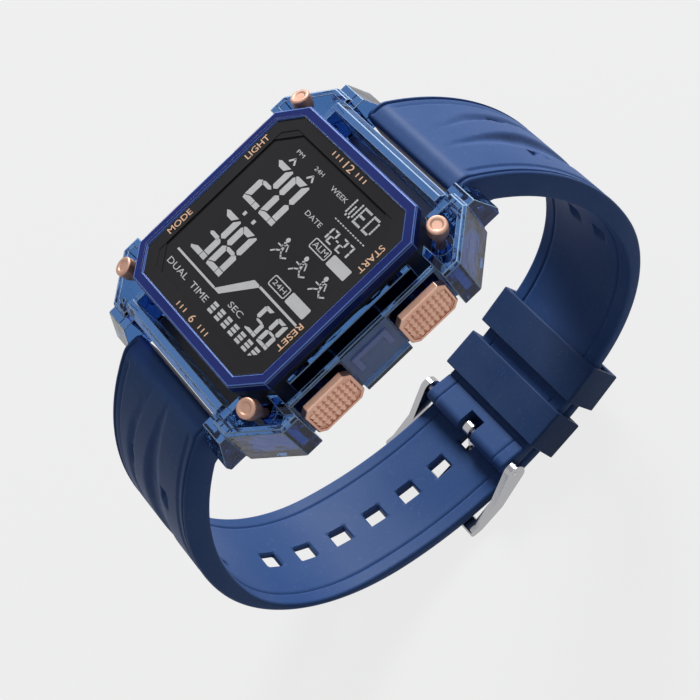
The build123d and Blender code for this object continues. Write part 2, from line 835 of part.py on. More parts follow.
# The buckle's pin lies in the folded end of the short half
pin_angle = -pi / 2 + asin(pin_y / (short_outer_bottom - fold_radius))
pin_place = at_angle((0, tail_centre), short_outer_bottom - fold_radius, pin_angle)


def shoulder(face, foot, inset):
    """Round shoulder between the strap's flat top and the upper arc of its outer face."""
    centre = face.upper[0]
    middle = (strap_root + foot, strap_top - strap_shoulder)
    angle = atan2(middle[1] - centre[1], middle[0] - centre[0])
    return middle, angle, arc(middle, strap_shoulder - inset, pi / 2, angle)


def root_lines(inner, inner_top, middle, inset):
    """Lines round the strap's end between the lugs, from the inner face to the shoulder."""
    low_point = at_angle(*inner.upper, inner.start_angle(inner_top))
    top = strap_top - inset
    corner_low = (strap_root, strap_root_low)
    corner_high = (strap_root, top - strap_root_round)
    corner_round = (strap_root + strap_root_round, top)
    diagonal = strap_root_round * (1 - sqrt(2) / 2)
    bend = ThreePointArc(corner_high, (strap_root + diagonal, top - diagonal), corner_round)
    flat = Line(corner_round, (middle[0], top))
    return [Line(low_point, corner_low), Line(corner_low, corner_high), bend, flat]


def long_profile(inset=0):
    """Side view of the long half, in its own outward direction, with its tail past zero."""
    middle, angle, round_top = shoulder(long_outer, long_outer_foot, inset)
    lowest = -pi / 2
    tip = lowest - tail_length / tail_radius
    centre = (0, tail_centre)
    outer = [round_top] + long_outer.arcs(angle, lowest, inset)
    outer.append(arc(centre, tail_outer_radius - inset, lowest, tip))
    tip_line = Line(at_angle(centre, tail_outer_radius - inset, tip), at_angle(centre, tail_radius, tip))
    inner = [arc(centre, tail_radius, tip, lowest)]
    inner += long_inner.arcs(long_inner.start_angle(long_inner_top), lowest)
    root = root_lines(long_inner, long_inner_top, middle, inset)
    return Plane.YZ * make_face(Curve() + outer + [tip_line] + inner + root)


def fold_lines(inset):
    """Round nose about the buckle's pin, and the line that runs on to the inner face."""
    centre = (0, tail_centre)
    outer = at_angle(centre, short_outer_bottom, pin_angle)
    inner = at_angle(centre, short_outer_bottom - 2 * fold_radius, pin_angle)
    tip = at_angle(pin_place, fold_radius, pin_angle - pi / 2)
    run_out = at_angle(centre, short_inner_bottom, pin_angle + fold_length / short_inner_bottom)
    lines = [ThreePointArc(outer, tip, inner), Line(inner, run_out)]
    if inset:
        lines.append(Line(at_angle(centre, short_outer_bottom - inset, pin_angle), outer))
    return lines


def short_profile(inset=0):
    """Side view of the short half, which ends in the fold round the buckle's pin."""
    middle, angle, round_top = shoulder(short_outer, short_outer_foot, inset)
    outer = [round_top] + short_outer.arcs(angle, pin_angle, inset)
    inner_end = pin_angle + fold_length / short_inner_bottom
    inner = short_inner.arcs(short_inner.start_angle(short_inner_top), inner_end)
    root = root_lines(short_inner, short_inner_top, middle, inset)
    return Plane.YZ * make_face(Curve() + outer + fold_lines(inset) + inner + root)


def strap_envelope():
    """Space that narrows the strap from the lugs to the bottom of the loop."""
    wide, narrow = strap_half_width, strap_end_half_width
    far = 2 * loop_bottom
    right = [(wide, lug_top), (wide, strap_taper_from), (narrow, strap_taper_to), (narrow, far)]
    left = [(-x, z) for x, z in reversed(right)]
    outline = Plane.XZ * make_face(Polyline(*right, *left, close=True).edges())
    reach = 2 * long_outer_widest
    return extrude(outline, amount=reach, both=True)


def cut_grooves(strap, full, reduced):
    """Cuts the groove inside each edge of the outer face."""
    edge = strap_end_half_width - rim_width
    skin = full - reduced
    for side in (-1, 1):
        low, high = sorted((side * edge, side * (edge - groove_width)))
        strap -= across(skin, low, high)
    return strap


def spring_bar_hole():
    """Hole across a strap end."""
    return rod_x(bar_radius + running_gap, -2 * strap_half_width, 2 * strap_half_width, bar_y, bar_z)


def make_long_strap():
    """Strap half with the holes, at 6 o'clock, its tail passing the buckle and keepers."""
    full = long_profile()
    strap = across(full, -strap_half_width, strap_half_width) & strap_envelope()
    strap = cut_grooves(strap, full, long_profile(groove_depth))
    for step in range(-holes_on_tail, holes_on_loop + 1):
        distance = step * hole_pitch - prong_hole_y
        if distance < 0:
            angle = -pi / 2 + distance / tail_radius
            place = at_angle((0, tail_centre), tail_radius, angle)
        else:
            place, angle = long_inner.along(distance)
        cutter = Rot(degrees(angle), 0, 0) * Box(hole_width, 4 * long_flank_thickness, hole_length)
        strap -= Pos(0, *place) * cutter
    strap -= spring_bar_hole()
    tip_y = tail_outer_radius * sin(tail_length / tail_radius)
    reach = 2 * long_outer_widest
    plan = block((-strap_half_width, strap_half_width), (-tip_y, reach), (2 * loop_bottom, glass_top))
    plan = fillet(plan.edges().filter_by(Axis.Z).sort_by(Axis.Y)[:2], tail_round)
    return mirror(strap & plan, about=Plane.XZ)


def make_short_strap():
    """Strap half with the buckle, at 12 o'clock, slotted at its fold for the prong."""
    full = short_profile()
    strap = across(full, -strap_half_width, strap_half_width) & strap_envelope()
    strap = cut_grooves(strap, full, short_profile(groove_depth))
    strap -= rod_x(pin_radius + running_gap, -strap_half_width - overrun, strap_half_width + overrun,
                   *pin_place)
    half = fold_slot_width / 2
    slot_y = (pin_place[0] - fold_radius - overrun, pin_place[0] - fold_radius + fold_slot_length)
    slot_z = (pin_place[1] - 2 * fold_radius, pin_place[1] + 2 * fold_radius)
    strap -= block((-half, half), slot_y, slot_z)
    return strap - spring_bar_hole()


def make_spring_bar():
    """Bar of the 12 o'clock lugs, with a thin tip at each end."""
    half = strap_half_width - seat_gap
    tip = strap_half_width + free_gap + bar_tip_length - seat_gap
    bar = rod_x(bar_radius, -half, half, bar_y, bar_z)
    return bar + rod_x(bar_tip_radius, -tip, tip, bar_y, bar_z)


# Buckle and keepers

def hull_of(first, first_radius, second, second_radius):
    """Outline round two circles in the plane of the loop."""
    circles = Pos(*first) * Circle(first_radius) + Pos(*second) * Circle(second_radius)
    return Plane.YZ * make_hull(circles.edges())


arm_inner = strap_half_width + free_gap
arm_outer = arm_inner + arm_thickness


def crossbar_place():
    """Middle of the crossbar, just outside the long half's outer face."""
    radius = loop_radius + tail_thickness + free_gap + crossbar_radius
    return crossbar_y, loop_centre - sqrt(radius**2 - crossbar_y**2)


def make_buckle_frame():
    """Two arms from the pin round the strap's edges to the crossbar."""
    elbow = (pin_place[0] - arm_elbow_forward, pin_place[1] - arm_elbow_drop)
    end = crossbar_place()
    far = (end[0] - crossbar_width, end[1] - crossbar_width * crossbar_y / loop_radius)
    bar_side = hull_of(end, crossbar_radius, far, crossbar_radius)
    side = hull_of(pin_place, arm_head_radius, elbow, arm_elbow_radius)
    side += hull_of(elbow, arm_elbow_radius, end, crossbar_radius)
    arm = across(side + bar_side, arm_inner, arm_outer)
    arm -= rod_x(pin_radius + running_gap, arm_inner - overrun, arm_outer + overrun, *pin_place)
    return arm + mirror(arm, about=Plane.YZ) + across(bar_side, -arm_inner, arm_inner)


def make_buckle_bar():
    """Pin through the fold and both arms."""
    return rod_x(pin_radius, -arm_outer, arm_outer, *pin_place)


def make_buckle_prong():
    """Ring round the pin, a leg through the strap's hole and a blade over the crossbar."""
    half = prong_width / 2
    thick = prong_thickness / 2
    outer_face = loop_centre - loop_radius - tail_thickness
    drop = pin_place[1] - outer_face + prong_gap + thick + free_gap
    bend = (pin_place[0] - prong_leg_slope * drop, pin_place[1] - drop)
    bar_y_middle, bar_z_middle = crossbar_place()
    rest = bar_z_middle - crossbar_radius - prong_gap - thick
    tip = (bar_y_middle - crossbar_width - prong_overhang, rest)
    prong = rod_x(pin_radius + prong_ring, -half, half, *pin_place)
    prong += across(hull_of(pin_place, thick, bend, thick), -half, half)
    prong += across(hull_of(bend, thick, tip, thick * mid_share), -half, half)
    return prong - rod_x(pin_radius + running_gap, -half - overrun, half + overrun, *pin_place)


def make_keeper(middle_y):
    """Rubber loop round both layers of the strap."""
    layers = tail_outer_radius - short_inner_bottom
    middle_radius = (tail_outer_radius + short_inner_bottom) / 2
    turn = asin(middle_y / middle_radius)
    inner_x = 2 * (strap_end_half_width + keeper_gap)
    inner_z = layers + 2 * keeper_gap
    outer = Box(inner_x + 2 * keeper_wall, keeper_length, inner_z + 2 * keeper_plate)
    outer = fillet(outer.edges().filter_by(Axis.Y), keeper_bevel)
    ring = outer - Box(inner_x, keeper_length + overrun, inner_z)
    place = at_angle((0, tail_centre), middle_radius, turn - pi / 2)
    return Pos(0, *place) * Rot(degrees(turn), 0, 0) * ring


def main():
    """Writes every sub-part."""
    os.makedirs("parts", exist_ok=True)
    save("front_glass", make_front_glass())
    save("bezel_ring", make_bezel_ring())
    save("case_barrel", make_case_barrel())
    save("case_frame", make_case_frame())
    save("corner_posts", make_corner_posts())
    plate = make_side_plate()
    save("side_plate_3", plate)
    save("side_plate_9", mirror(plate, about=Plane.YZ))
    save("back_gasket", make_back_gasket())
    save("case_back", make_case_back())
    save("case_back_screws", make_case_back_screws())

    save("front_mask", make_front_mask())
    save("lcd_panel", make_lcd_panel())
    save("backlight", make_backlight())
    save("connector_strips", make_connector_strips())
    save("module_frame", make_module_frame())
    save("circuit_board", make_circuit_board())
    save("display_chip", make_display_chip())
    save("quartz_crystal", make_quartz_crystal())
    save("lamp", make_lamp())
    save("battery", make_battery())
    save("battery_contact", make_battery_contact())
    save("battery_clip", make_battery_clip())
    save("buzzer_disc", make_buzzer_disc())
    save("buzzer_spring", make_buzzer_spring())

    button, seal, clip = make_button(), make_button_seal(), make_button_clip()
    coil, contact = make_button_spring(), make_button_contact()
    coils, contacts = [], []
    for name, side, end in (("start", 1, 1), ("reset", 1, -1), ("light", -1, 1), ("mode", -1, -1)):
        save(name + "_button", place_button(button, side, end))
        save(name + "_button_seal", place_button(seal, side, end))
        save(name + "_button_clip", place_button(clip, side, end))
        coils.append(place_button(coil, side, end))
        contacts.append(place_button(contact, side, end))
    save("button_springs", coils)
    save("button_contacts", contacts)

    save("long_strap", make_long_strap())
    save("short_strap", make_short_strap())
    bar = make_spring_bar()
    save("spring_bar_12", bar)
    save("spring_bar_6", mirror(bar, about=Plane.XZ))
    save("buckle_frame", make_buckle_frame())
    save("buckle_bar", make_buckle_bar())
    save("buckle_prong", make_buckle_prong())
    save("keeper_by_buckle", make_keeper(keeper_one_y))
    save("keeper_by_tail", make_keeper(keeper_two_y))


main()
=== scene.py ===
"""Looks of a digital watch, built round its fixed construction model."""

import json
from math import asin, atan2, cos, hypot, pi, radians, sin, tan

import bmesh
import bpy
import numpy as np
from bpy.props import FloatProperty, FloatVectorProperty, IntProperty, PointerProperty
from mathutils import Matrix, Vector

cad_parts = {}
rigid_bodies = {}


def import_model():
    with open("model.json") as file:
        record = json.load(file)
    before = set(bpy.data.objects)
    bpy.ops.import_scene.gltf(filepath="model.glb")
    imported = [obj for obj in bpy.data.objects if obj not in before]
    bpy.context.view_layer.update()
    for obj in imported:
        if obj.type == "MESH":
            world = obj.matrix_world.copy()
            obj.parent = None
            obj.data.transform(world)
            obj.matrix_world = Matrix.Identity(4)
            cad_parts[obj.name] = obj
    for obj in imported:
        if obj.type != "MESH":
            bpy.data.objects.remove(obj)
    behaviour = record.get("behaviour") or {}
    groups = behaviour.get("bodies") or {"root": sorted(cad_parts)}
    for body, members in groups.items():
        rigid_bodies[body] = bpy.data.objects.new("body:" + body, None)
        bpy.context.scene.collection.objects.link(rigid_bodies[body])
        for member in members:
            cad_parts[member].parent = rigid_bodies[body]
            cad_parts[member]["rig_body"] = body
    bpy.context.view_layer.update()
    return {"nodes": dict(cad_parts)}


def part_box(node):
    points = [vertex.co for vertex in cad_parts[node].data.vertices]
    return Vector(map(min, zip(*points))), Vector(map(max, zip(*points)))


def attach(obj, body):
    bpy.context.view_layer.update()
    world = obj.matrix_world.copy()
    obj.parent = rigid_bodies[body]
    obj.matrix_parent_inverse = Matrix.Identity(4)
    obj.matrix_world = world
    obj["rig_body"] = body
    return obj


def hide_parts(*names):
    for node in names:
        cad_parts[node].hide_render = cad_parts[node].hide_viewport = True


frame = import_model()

bl_info = {
    "name": "Digital watch dressing",
    "version": (1, 0, 0),
    "blender": (4, 5, 0),
    "location": "3D View > Sidebar > Watch",
    "description": "Strap, case, pushers, dial and buckle of a digital watch round its construction model",
    "category": "Add Mesh",
}

MM = 0.001


def mm(*lengths):
    """Lengths in millimetres, given to Blender in metres."""
    return tuple(one * MM for one in lengths)


def tint(*display):
    """Linear colour from three display values between 0 and 255."""
    shares = [value / 255 for value in display]
    return tuple(one / 12.92 if one <= 0.04045 else ((one + 0.055) / 1.055) ** 2.4 for one in shares)


def solid(colour):
    return (*colour, 1.0)


# Sizes and colours that a user may change

def length(name, description, millimetres):
    return FloatProperty(name=name, description=description, default=millimetres * MM, min=0.0,
                         precision=5, subtype="DISTANCE", unit="LENGTH")


def colour(name, description, value):
    return FloatVectorProperty(name=name, description=description, default=tint(*value), size=3,
                               min=0.0, max=1.0, subtype="COLOR")


class StrapSizes(bpy.types.PropertyGroup):
    edge_round: length("Edge rounding", "Radius of the strap's long edges", 0.6)
    rim_groove: length("Rim groove", "Depth of the groove inside each outer edge", 0.5)
    hollow: length("Hollow", "Depth of the flame-shaped hollows", 1.15)
    lining_groove: length("Lining groove", "Depth of the fine groove on the inner face", 0.22)
    hole_round: length("Hole rounding", "How far the rims of the buckle holes are rounded", 0.3)
    row_step: length("Row step", "Distance between the mesh rows along the strap", 0.45)


class CaseSizes(bpy.types.PropertyGroup):
    frame_edge: length("Frame edge", "Width of the broken edges of the see-through frame", 0.12)
    ring_edge: length("Ring edge", "Width of the bezel ring's broken edges", 0.11)
    metal_edge: length("Metal edge", "Width of the broken edges of posts and pushers", 0.12)
    keeper_edge: length("Keeper edge", "Width of the rounded edges of the strap keepers", 0.22)
    buckle_edge: length("Buckle edge", "Width of the buckle's polished edges", 0.38)


class PusherSizes(bpy.types.PropertyGroup):
    rows: IntProperty(name="Rows", description="Pyramids across a pusher", default=5, min=2, max=12)
    columns: IntProperty(name="Columns", description="Pyramids along a pusher", default=8, min=2, max=20)
    height: length("Pyramid height", "Height of the grip pyramids", 0.45)


class DialSizes(bpy.types.PropertyGroup):
    ink: length("Print thickness", "Thickness of the printed legends", 0.02)
    segment: length("Segment thickness", "Thickness of the light segments", 0.02)


class WatchColours(bpy.types.PropertyGroup):
    strap: colour("Strap", "Matt silicone", (51, 86, 144))
    clear_frame: colour("Clear frame", "See-through blue frame", (78, 122, 184))
    ring: colour("Bezel ring", "Royal blue ring round the glass", (14, 38, 120))
    rose: colour("Rose gold", "Posts and pushers", (218, 168, 144))
    segment: colour("Segments", "Light segments of the display", (208, 208, 209))
    legend: colour("Legends", "Printed legends", (250, 202, 166))
    floor: colour("Floor", "Plain floor", (176, 176, 178))


# Shader recipes

class Field:
    """A shader socket that takes part in arithmetic."""

    def __init__(self, recipe, socket):
        self.recipe, self.socket = recipe, socket

    def _math(self, operation, *values, clamp=False):
        sockets = dict(enumerate(values))
        return self.recipe.node("Math", {"operation": operation, "use_clamp": clamp}, sockets)

    def __add__(self, other):
        return self._math("ADD", self, other)

    def __sub__(self, other):
        return self._math("SUBTRACT", self, other)

    def __rsub__(self, other):
        return self._math("SUBTRACT", other, self)

    def __mul__(self, other):
        return self._math("MULTIPLY", self, other)

    __radd__ = __add__
    __rmul__ = __mul__

    def clipped(self):
        return self._math("ADD", self, 0.0, clamp=True)


class Recipe:
    """The nodes of a material, or of the world where that is given."""

    def __init__(self, name, world=None):
        self.owner = world or bpy.data.materials.new(name)
        self.owner.use_nodes = True
        self.tree = self.owner.node_tree
        self.tree.nodes.clear()

    def node(self, kind, settings=None, sockets=None, output=0):
        """One node: its settings first, then its sockets' values or links."""
        made = self.tree.nodes.new("ShaderNode" + kind)
        for name, value in (settings or {}).items():
            setattr(made, name, value)
        for name, value in (sockets or {}).items():
            if isinstance(value, Field):
                self.tree.links.new(value.socket, made.inputs[name])
            else:
                made.inputs[name].default_value = value
        return Field(self, made.outputs[output])

    def place(self):
        return self.node("TexCoord", output="Object")

    def noise(self, scale, detail=2.0, stretch=None):
        where = self.place()
        if stretch:
            where = self.node("Mapping", sockets={"Vector": where, "Scale": stretch})
        return self.node("TexNoise", sockets={"Vector": where, "Scale": scale, "Detail": detail})

    def blend(self, share, first, second):
        """Mix of two colours."""
        return self.node("Mix", {"data_type": "RGBA"}, {0: share, 6: first, 7: second}, output=2)

    def toned(self, share, shade, down, up):
        """Colour that goes from a darker to a paler tone of a shade."""
        return self.blend(share, darker(shade, down), paler(shade, up))

    def bump(self, height, strength, distance):
        return self.node("Bump", sockets={"Height": height, "Strength": strength, "Distance": distance})

    def surface(self, sockets):
        return self.node("BsdfPrincipled", sockets=sockets)

    def mixed(self, share, first, second):
        """Mix of two shaders."""
        return self.node("MixShader", sockets={0: share, 1: first, 2: second})

    def rays(self, *ways):
        """1 for light that comes by one of these ways."""
        answers = [self.node("LightPath", output="Is %s Ray" % way) for way in ways]
        return sum(answers[1:], answers[0]).clipped()

    def lets_lamps_through(self, shader, shade):
        """Light from the lamps and the room passes, tinted, as it does through clear plastic."""
        clear = self.node("BsdfTransparent", sockets={"Color": solid(shade)})
        return self.mixed(self.rays("Shadow", "Diffuse"), shader, clear)

    def seen_directly(self):
        """1 where the camera looks, also by metal or glass, and 0 for light that matt surfaces gather."""
        scattered = self.node("LightPath", output="Diffuse Depth").clipped()
        return self.rays("Camera", "Glossy", "Transmission") * (1 - scattered)

    def seen_white(self, shader, share):
        """A surface that the camera sees nearly white, and that keeps a soft shadow."""
        white = self.node("Emission", sockets={"Color": (1.0, 1.0, 1.0, 1.0), "Strength": 1.0})
        return self.mixed(self.seen_directly() * share, shader, white)

    def done(self, shader, kind="Material"):
        out = self.tree.nodes.new("ShaderNodeOutput" + kind)
        self.tree.links.new(shader.socket, out.inputs["Surface"])
        return self.owner


def paler(shade, share):
    return solid(tuple(part + (1 - part) * share for part in shade))


def darker(shade, share):
    return solid(tuple(part * (1 - share) for part in shade))


def silicone(name, shade):
    """Matt moulded silicone, with a fine skin and slow changes of tone."""
    r = Recipe(name)
    broad = r.noise(55.0, 3.0)
    fine = r.noise(5200.0, 2.0)
    specks = (r.noise(1400.0, 1.0) - 0.62) * 9.0
    base = r.toned((broad * 1.6 - 0.3).clipped(), shade, 0.10, 0.035)
    base = r.blend(specks.clipped() * 0.05, base, paler(shade, 0.35))
    return r.done(r.surface({
        "Base Color": base, "Roughness": fine * 0.12 + 0.44, "Specular IOR Level": 0.10,
        "Normal": r.bump(fine, 0.35, 0.00002)}))


def clear_plastic(name, shade):
    """See-through polished polycarbonate with faint flow lines and rubbed patches."""
    r = Recipe(name)
    flow = r.noise(210.0, 3.0, (1.0, 0.3, 1.0))
    rubbed = (r.noise(420.0, 4.0) - 0.60) * 6.0
    glassy = r.surface({
        "Base Color": r.toned(flow, shade, 0.22, 0.0), "Roughness": rubbed.clipped() * 0.05 + 0.015,
        "IOR": 1.5, "Transmission Weight": 1.0, "Specular Tint": (0.45, 0.52, 0.70, 1.0),
        "Normal": r.bump(flow, 0.35, 0.0006)})
    return r.done(r.lets_lamps_through(glassy, (0.30, 0.42, 0.80)))


def smoky_plate(name, shade):
    """Smoky see-through plate, a little milky inside."""
    r = Recipe(name)
    cloud = r.noise(240.0, 3.0)
    fine = r.noise(2600.0, 2.0)
    return r.done(r.surface({
        "Base Color": r.toned(cloud, shade, 0.25, 0.06),
        "Roughness": fine * 0.05 + 0.16, "IOR": 1.49, "Specular IOR Level": 0.25,
        "Alpha": cloud * 0.12 + 0.78, "Normal": r.bump(cloud, 0.08, 0.0002)}))


def front_glass_finish(name):
    """Thin clear mineral glass, coated against glare, with a hint of finger marks."""
    r = Recipe(name)
    marks = r.noise(130.0, 3.0)
    slant = r.node("LayerWeight", sockets={"Blend": 0.5}, output="Facing")
    glassy = r.surface({
        "Base Color": (0.98, 0.98, 0.98, 1.0), "Roughness": 0.0, "IOR": 1.0, "Transmission Weight": 1.0,
        "Coat Weight": ((slant - 0.44) * 2.6).clipped() * (1 - marks * 0.3), "Coat Roughness": 0.12})
    return r.done(r.lets_lamps_through(glassy, (0.98, 0.98, 0.98)))


def satin_metal(name, shade, rough):
    """Plated metal with a blasted grain, in slowly changing tones."""
    r = Recipe(name)
    fine = r.noise(3800.0, 3.0)
    return r.done(r.surface({
        "Base Color": r.toned(r.noise(300.0, 2.0), shade, 0.12, 0.10), "Metallic": 0.82,
        "Roughness": fine * 0.18 + rough - 0.09, "Normal": r.bump(fine, 0.5, 0.00003)}))


def polished_steel(name, shade=(0.46, 0.46, 0.48), rough=0.10, stretch=(1.0, 30.0, 30.0)):
    """Steel with fine lines from the wheel, and small scratches."""
    r = Recipe(name)
    wheel = r.noise(900.0, 2.0, stretch)
    scratch = (r.noise(260.0, 5.0, (22.0, 1.0, 6.0)) - 0.62) * 7.0
    return r.done(r.surface({
        "Base Color": r.toned(wheel, shade, 0.10, 0.10), "Metallic": 1.0,
        "Roughness": wheel * 0.08 + scratch.clipped() * 0.12 + rough,
        "Normal": r.bump(wheel, 0.25, 0.00001)}))


def enamel(name, shade, rough=0.28, coat=0.3, level=0.3):
    """Smooth coloured plastic or lacquer, also with a thin clear coat."""
    r = Recipe(name)
    slow = r.noise(60.0, 1.0)
    return r.done(r.surface({
        "Base Color": r.toned(slow, shade, 0.25, 0.02),
        "Roughness": slow * 0.1 + rough - 0.05, "Coat Weight": coat, "Coat Roughness": 0.05,
        "Specular IOR Level": level, "Normal": r.bump(slow, 0.03, 0.0002)}))


def moulded(name, shade, rough):
    """Plain moulded plastic with a fine grain."""
    r = Recipe(name)
    fine = r.noise(1700.0, 3.0)
    return r.done(r.surface({
        "Base Color": r.toned(r.noise(120.0, 2.0), shade, 0.14, 0.03),
        "Roughness": fine * 0.14 + rough - 0.07, "Normal": r.bump(fine, 0.3, 0.00002)}))


def display_film(name):
    """Dark display glass, here and there a little violet."""
    r = Recipe(name)
    slow = r.noise(45.0, 1.0)
    return r.done(r.surface({
        "Base Color": r.blend(slow, solid(tint(62, 61, 63)), solid(tint(50, 50, 52))),
        "Roughness": slow * 0.1 + 0.5, "Specular IOR Level": 0.0}))


def light_ink(name, shade, rough=0.5):
    """Pale print or pale display segment, a touch uneven."""
    r = Recipe(name)
    uneven = r.noise(900.0, 3.0)
    base = r.toned(uneven, shade, 0.10, 0.05)
    return r.done(r.surface({"Base Color": base, "Roughness": uneven * 0.1 + rough}))


def banded_rubber(name):
    """Layers of conducting and insulating rubber."""
    r = Recipe(name)
    band = r.node("TexWave", {"bands_direction": "X"}, {"Vector": r.place(), "Scale": 3200.0})
    return r.done(r.surface({
        "Base Color": r.blend(band, solid(tint(206, 150, 140)), solid(tint(60, 56, 56))), "Roughness": 0.6}))


# Mesh helpers

def linked(name, data):
    """A new object in the scene."""
    made = bpy.data.objects.new(name, data)
    bpy.context.scene.collection.objects.link(made)
    return made


def mesh_object(bm, name, material, sharp=0.55):
    """Object from a mesh with smooth faces, its edges kept sharp where faces meet at more than an angle."""
    for face in bm.faces:
        face.smooth = True
    for edge in bm.edges:
        edge.smooth = len(edge.link_faces) != 2 or edge.calc_face_angle(0.0) < sharp
    mesh = bpy.data.meshes.new(name)
    bm.to_mesh(mesh)
    bm.free()
    mesh.materials.append(material)
    return linked(name, mesh)


def add_piece(bm, name, body, material, sharp=0.55):
    """Ends a mesh and lets it ride on a body."""
    piece = mesh_object(bm, name, material, sharp)
    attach(piece, body)
    return piece


def merged_copy(node):
    """A copy of a construction node, with its loose triangles joined and flat faces made whole."""
    bm = bmesh.new()
    bm.from_mesh(frame["nodes"][node].data)
    bmesh.ops.remove_doubles(bm, verts=bm.verts[:], dist=0.002 * MM)
    bmesh.ops.dissolve_degenerate(bm, edges=bm.edges[:], dist=0.003 * MM)
    bmesh.ops.dissolve_limit(bm, angle_limit=0.01, verts=bm.verts[:], edges=bm.edges[:], delimit={"NORMAL"})
    return bm


def stands_for(bm, node, material, sharp):
    """A piece that takes the place of a construction node, on the node's body."""
    piece = add_piece(bm, node + "_finished", frame["nodes"][node]["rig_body"], material, sharp)
    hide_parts(node)
    return piece


def dressed(node, material, edge, segments=2, edge_material=None, clamp=True):
    """Stands for a construction node: the same shape with its hard edges broken."""
    piece = stands_for(merged_copy(node), node, material, 0.5)
    broken = piece.modifiers.new("broken edges", "BEVEL")
    broken.width = edge
    broken.segments = segments
    broken.limit_method = "ANGLE"
    broken.angle_limit = 0.5
    broken.use_clamp_overlap = clamp
    broken.harden_normals = True
    # Where an edge material is given, the broken edges take it: on the frame and the ring that is a painted
    # glint.
    if edge_material:
        piece.data.materials.append(edge_material)
        broken.material = 1
    return piece


def only(kind, items):
    return [item for item in items if isinstance(item, kind)]


def vertices(bm, places):
    """New vertices in the plane, in millimetres."""
    return [bm.verts.new(mm(x, y, 0)) for x, y in places]


GLASS_HALF_X, GLASS_HALF_Y, GLASS_CORNER = 17.2, 17.5, 3.47


def octagon_loop(bm, grow):
    """Eight vertices of the glass octagon grown by the same amount on all sides, in millimetres."""
    cut = GLASS_CORNER + grow * (2 - 2 ** 0.5)
    x, y = GLASS_HALF_X + grow, GLASS_HALF_Y + grow
    return vertices(bm, [(x, cut - y), (x, y - cut), (x - cut, y), (cut - x, y),
                         (-x, y - cut), (-x, cut - y), (cut - x, -y), (x - cut, -y)])


def flat_band(bm, outer, inner):
    """Flat ring between two loops."""
    edges = [bm.edges.new((loop[i - 1], loop[i])) for loop in (outer, inner) for i in range(len(loop))]
    bmesh.ops.bridge_loops(bm, edges=edges)


def raise_flat(bm, thickness, foot=0.0):
    """Lifts the flat faces of a mesh, gives them a thickness upwards and returns what was raised."""
    bmesh.ops.translate(bm, vec=mm(0, 0, foot), verts=bm.verts[:])
    raised = bmesh.ops.extrude_face_region(bm, geom=bm.faces[:])["geom"]
    bmesh.ops.translate(bm, vec=mm(0, 0, thickness), verts=only(bmesh.types.BMVert, raised))
    bmesh.ops.recalc_face_normals(bm, faces=bm.faces[:])
    return raised


# Strap: a place in the plane of its loop is how far out it lies from the case's middle, and its height

ROOT, TOP, ROOT_LOW, ROOT_ROUND, SHOULDER = 25.2, 7.1, 1.4, 0.9, 3.0
ROOT_LIP = 0.45
LOWEST, LOOP_RADIUS, TAIL_RADIUS, TAIL_THICK, TAIL_LENGTH = -63.4, 62.0, 78.0, 2.2, 31.0
LONG_OUTER_WIDEST, LONG_SHOULDER_RUN = (45.8, -28.0), 1.86
LONG_INNER_WIDEST, LONG_FOOT = (43.0, -32.3), (4.2, -0.4)
SHORT_OUTER_WIDEST, SHORT_SHOULDER_RUN = (45.7, -31.5), 1.5
SHORT_INNER_WIDEST, SHORT_FOOT = (42.4, -33.0), (4.0, -0.9)
HALF, END_HALF, STEADY_HALF, TAPER_FROM, TAPER_RUN, TIP_ROUND = 12.0, 11.6, 3.0, -30.0, 30.0, 8.0
HOLE_HALF_WIDTH, HOLE_HALF_LENGTH, HOLE_RIM, HOLE_PITCH, PRONG_HOLE = 1.6, 1.7, 0.3, 7.5, 1.5
SLOT_HALF_WIDTH, NOSE_RUN, SLACK, THICKEST = 1.9, 3.2, 0.01, 9.0
FOLD_RADIUS, FOLD_LENGTH, PIN = 1.75, 5.0, (3.0, -61.2907)
SHORT_OUTER, SHORT_INNER = 77.7, 75.3
SLOT_RUN = 4.4 + FOLD_RADIUS * (pi / 2 - 1)
LOOP_CENTRE, TAIL_CENTRE = LOWEST + LOOP_RADIUS, LOWEST + TAIL_RADIUS

# Mesh of the strap: its steps, and more rows and columns where it bends most, by their distance from an edge
LINE_STEP, COLUMN_STEP, FOLD_STEP, NOSE_ROW, FOLD_OVERLAP = 0.05, 0.42, 0.28, 0.12, 0.2
ROOT_ROWS, TIP_ROWS = (0.1, 0.25, 0.5, 0.9, 1.4), (0.06, 0.16, 0.34, 0.6, 1.2, 2.4)
EDGE_COLUMNS = (0, 0.05, 0.14, 0.28, 0.45, 0.64, 0.74, 0.86, 0.98, 1.1, 1.22, 1.34,
                2.1, 2.3, 2.5, 2.7, 2.9, 3.1, 3.3)


def arc(centre, radius, start, end):
    turns = np.linspace(start, end, max(2, int(abs(end - start) * radius / LINE_STEP) + 1))
    return np.c_[centre[0] + radius * np.cos(turns), centre[1] + radius * np.sin(turns)]


def straight(first, last):
    count = max(2, int(hypot(last[0] - first[0], last[1] - first[1]) / LINE_STEP) + 1)
    return np.linspace(first, last, count)


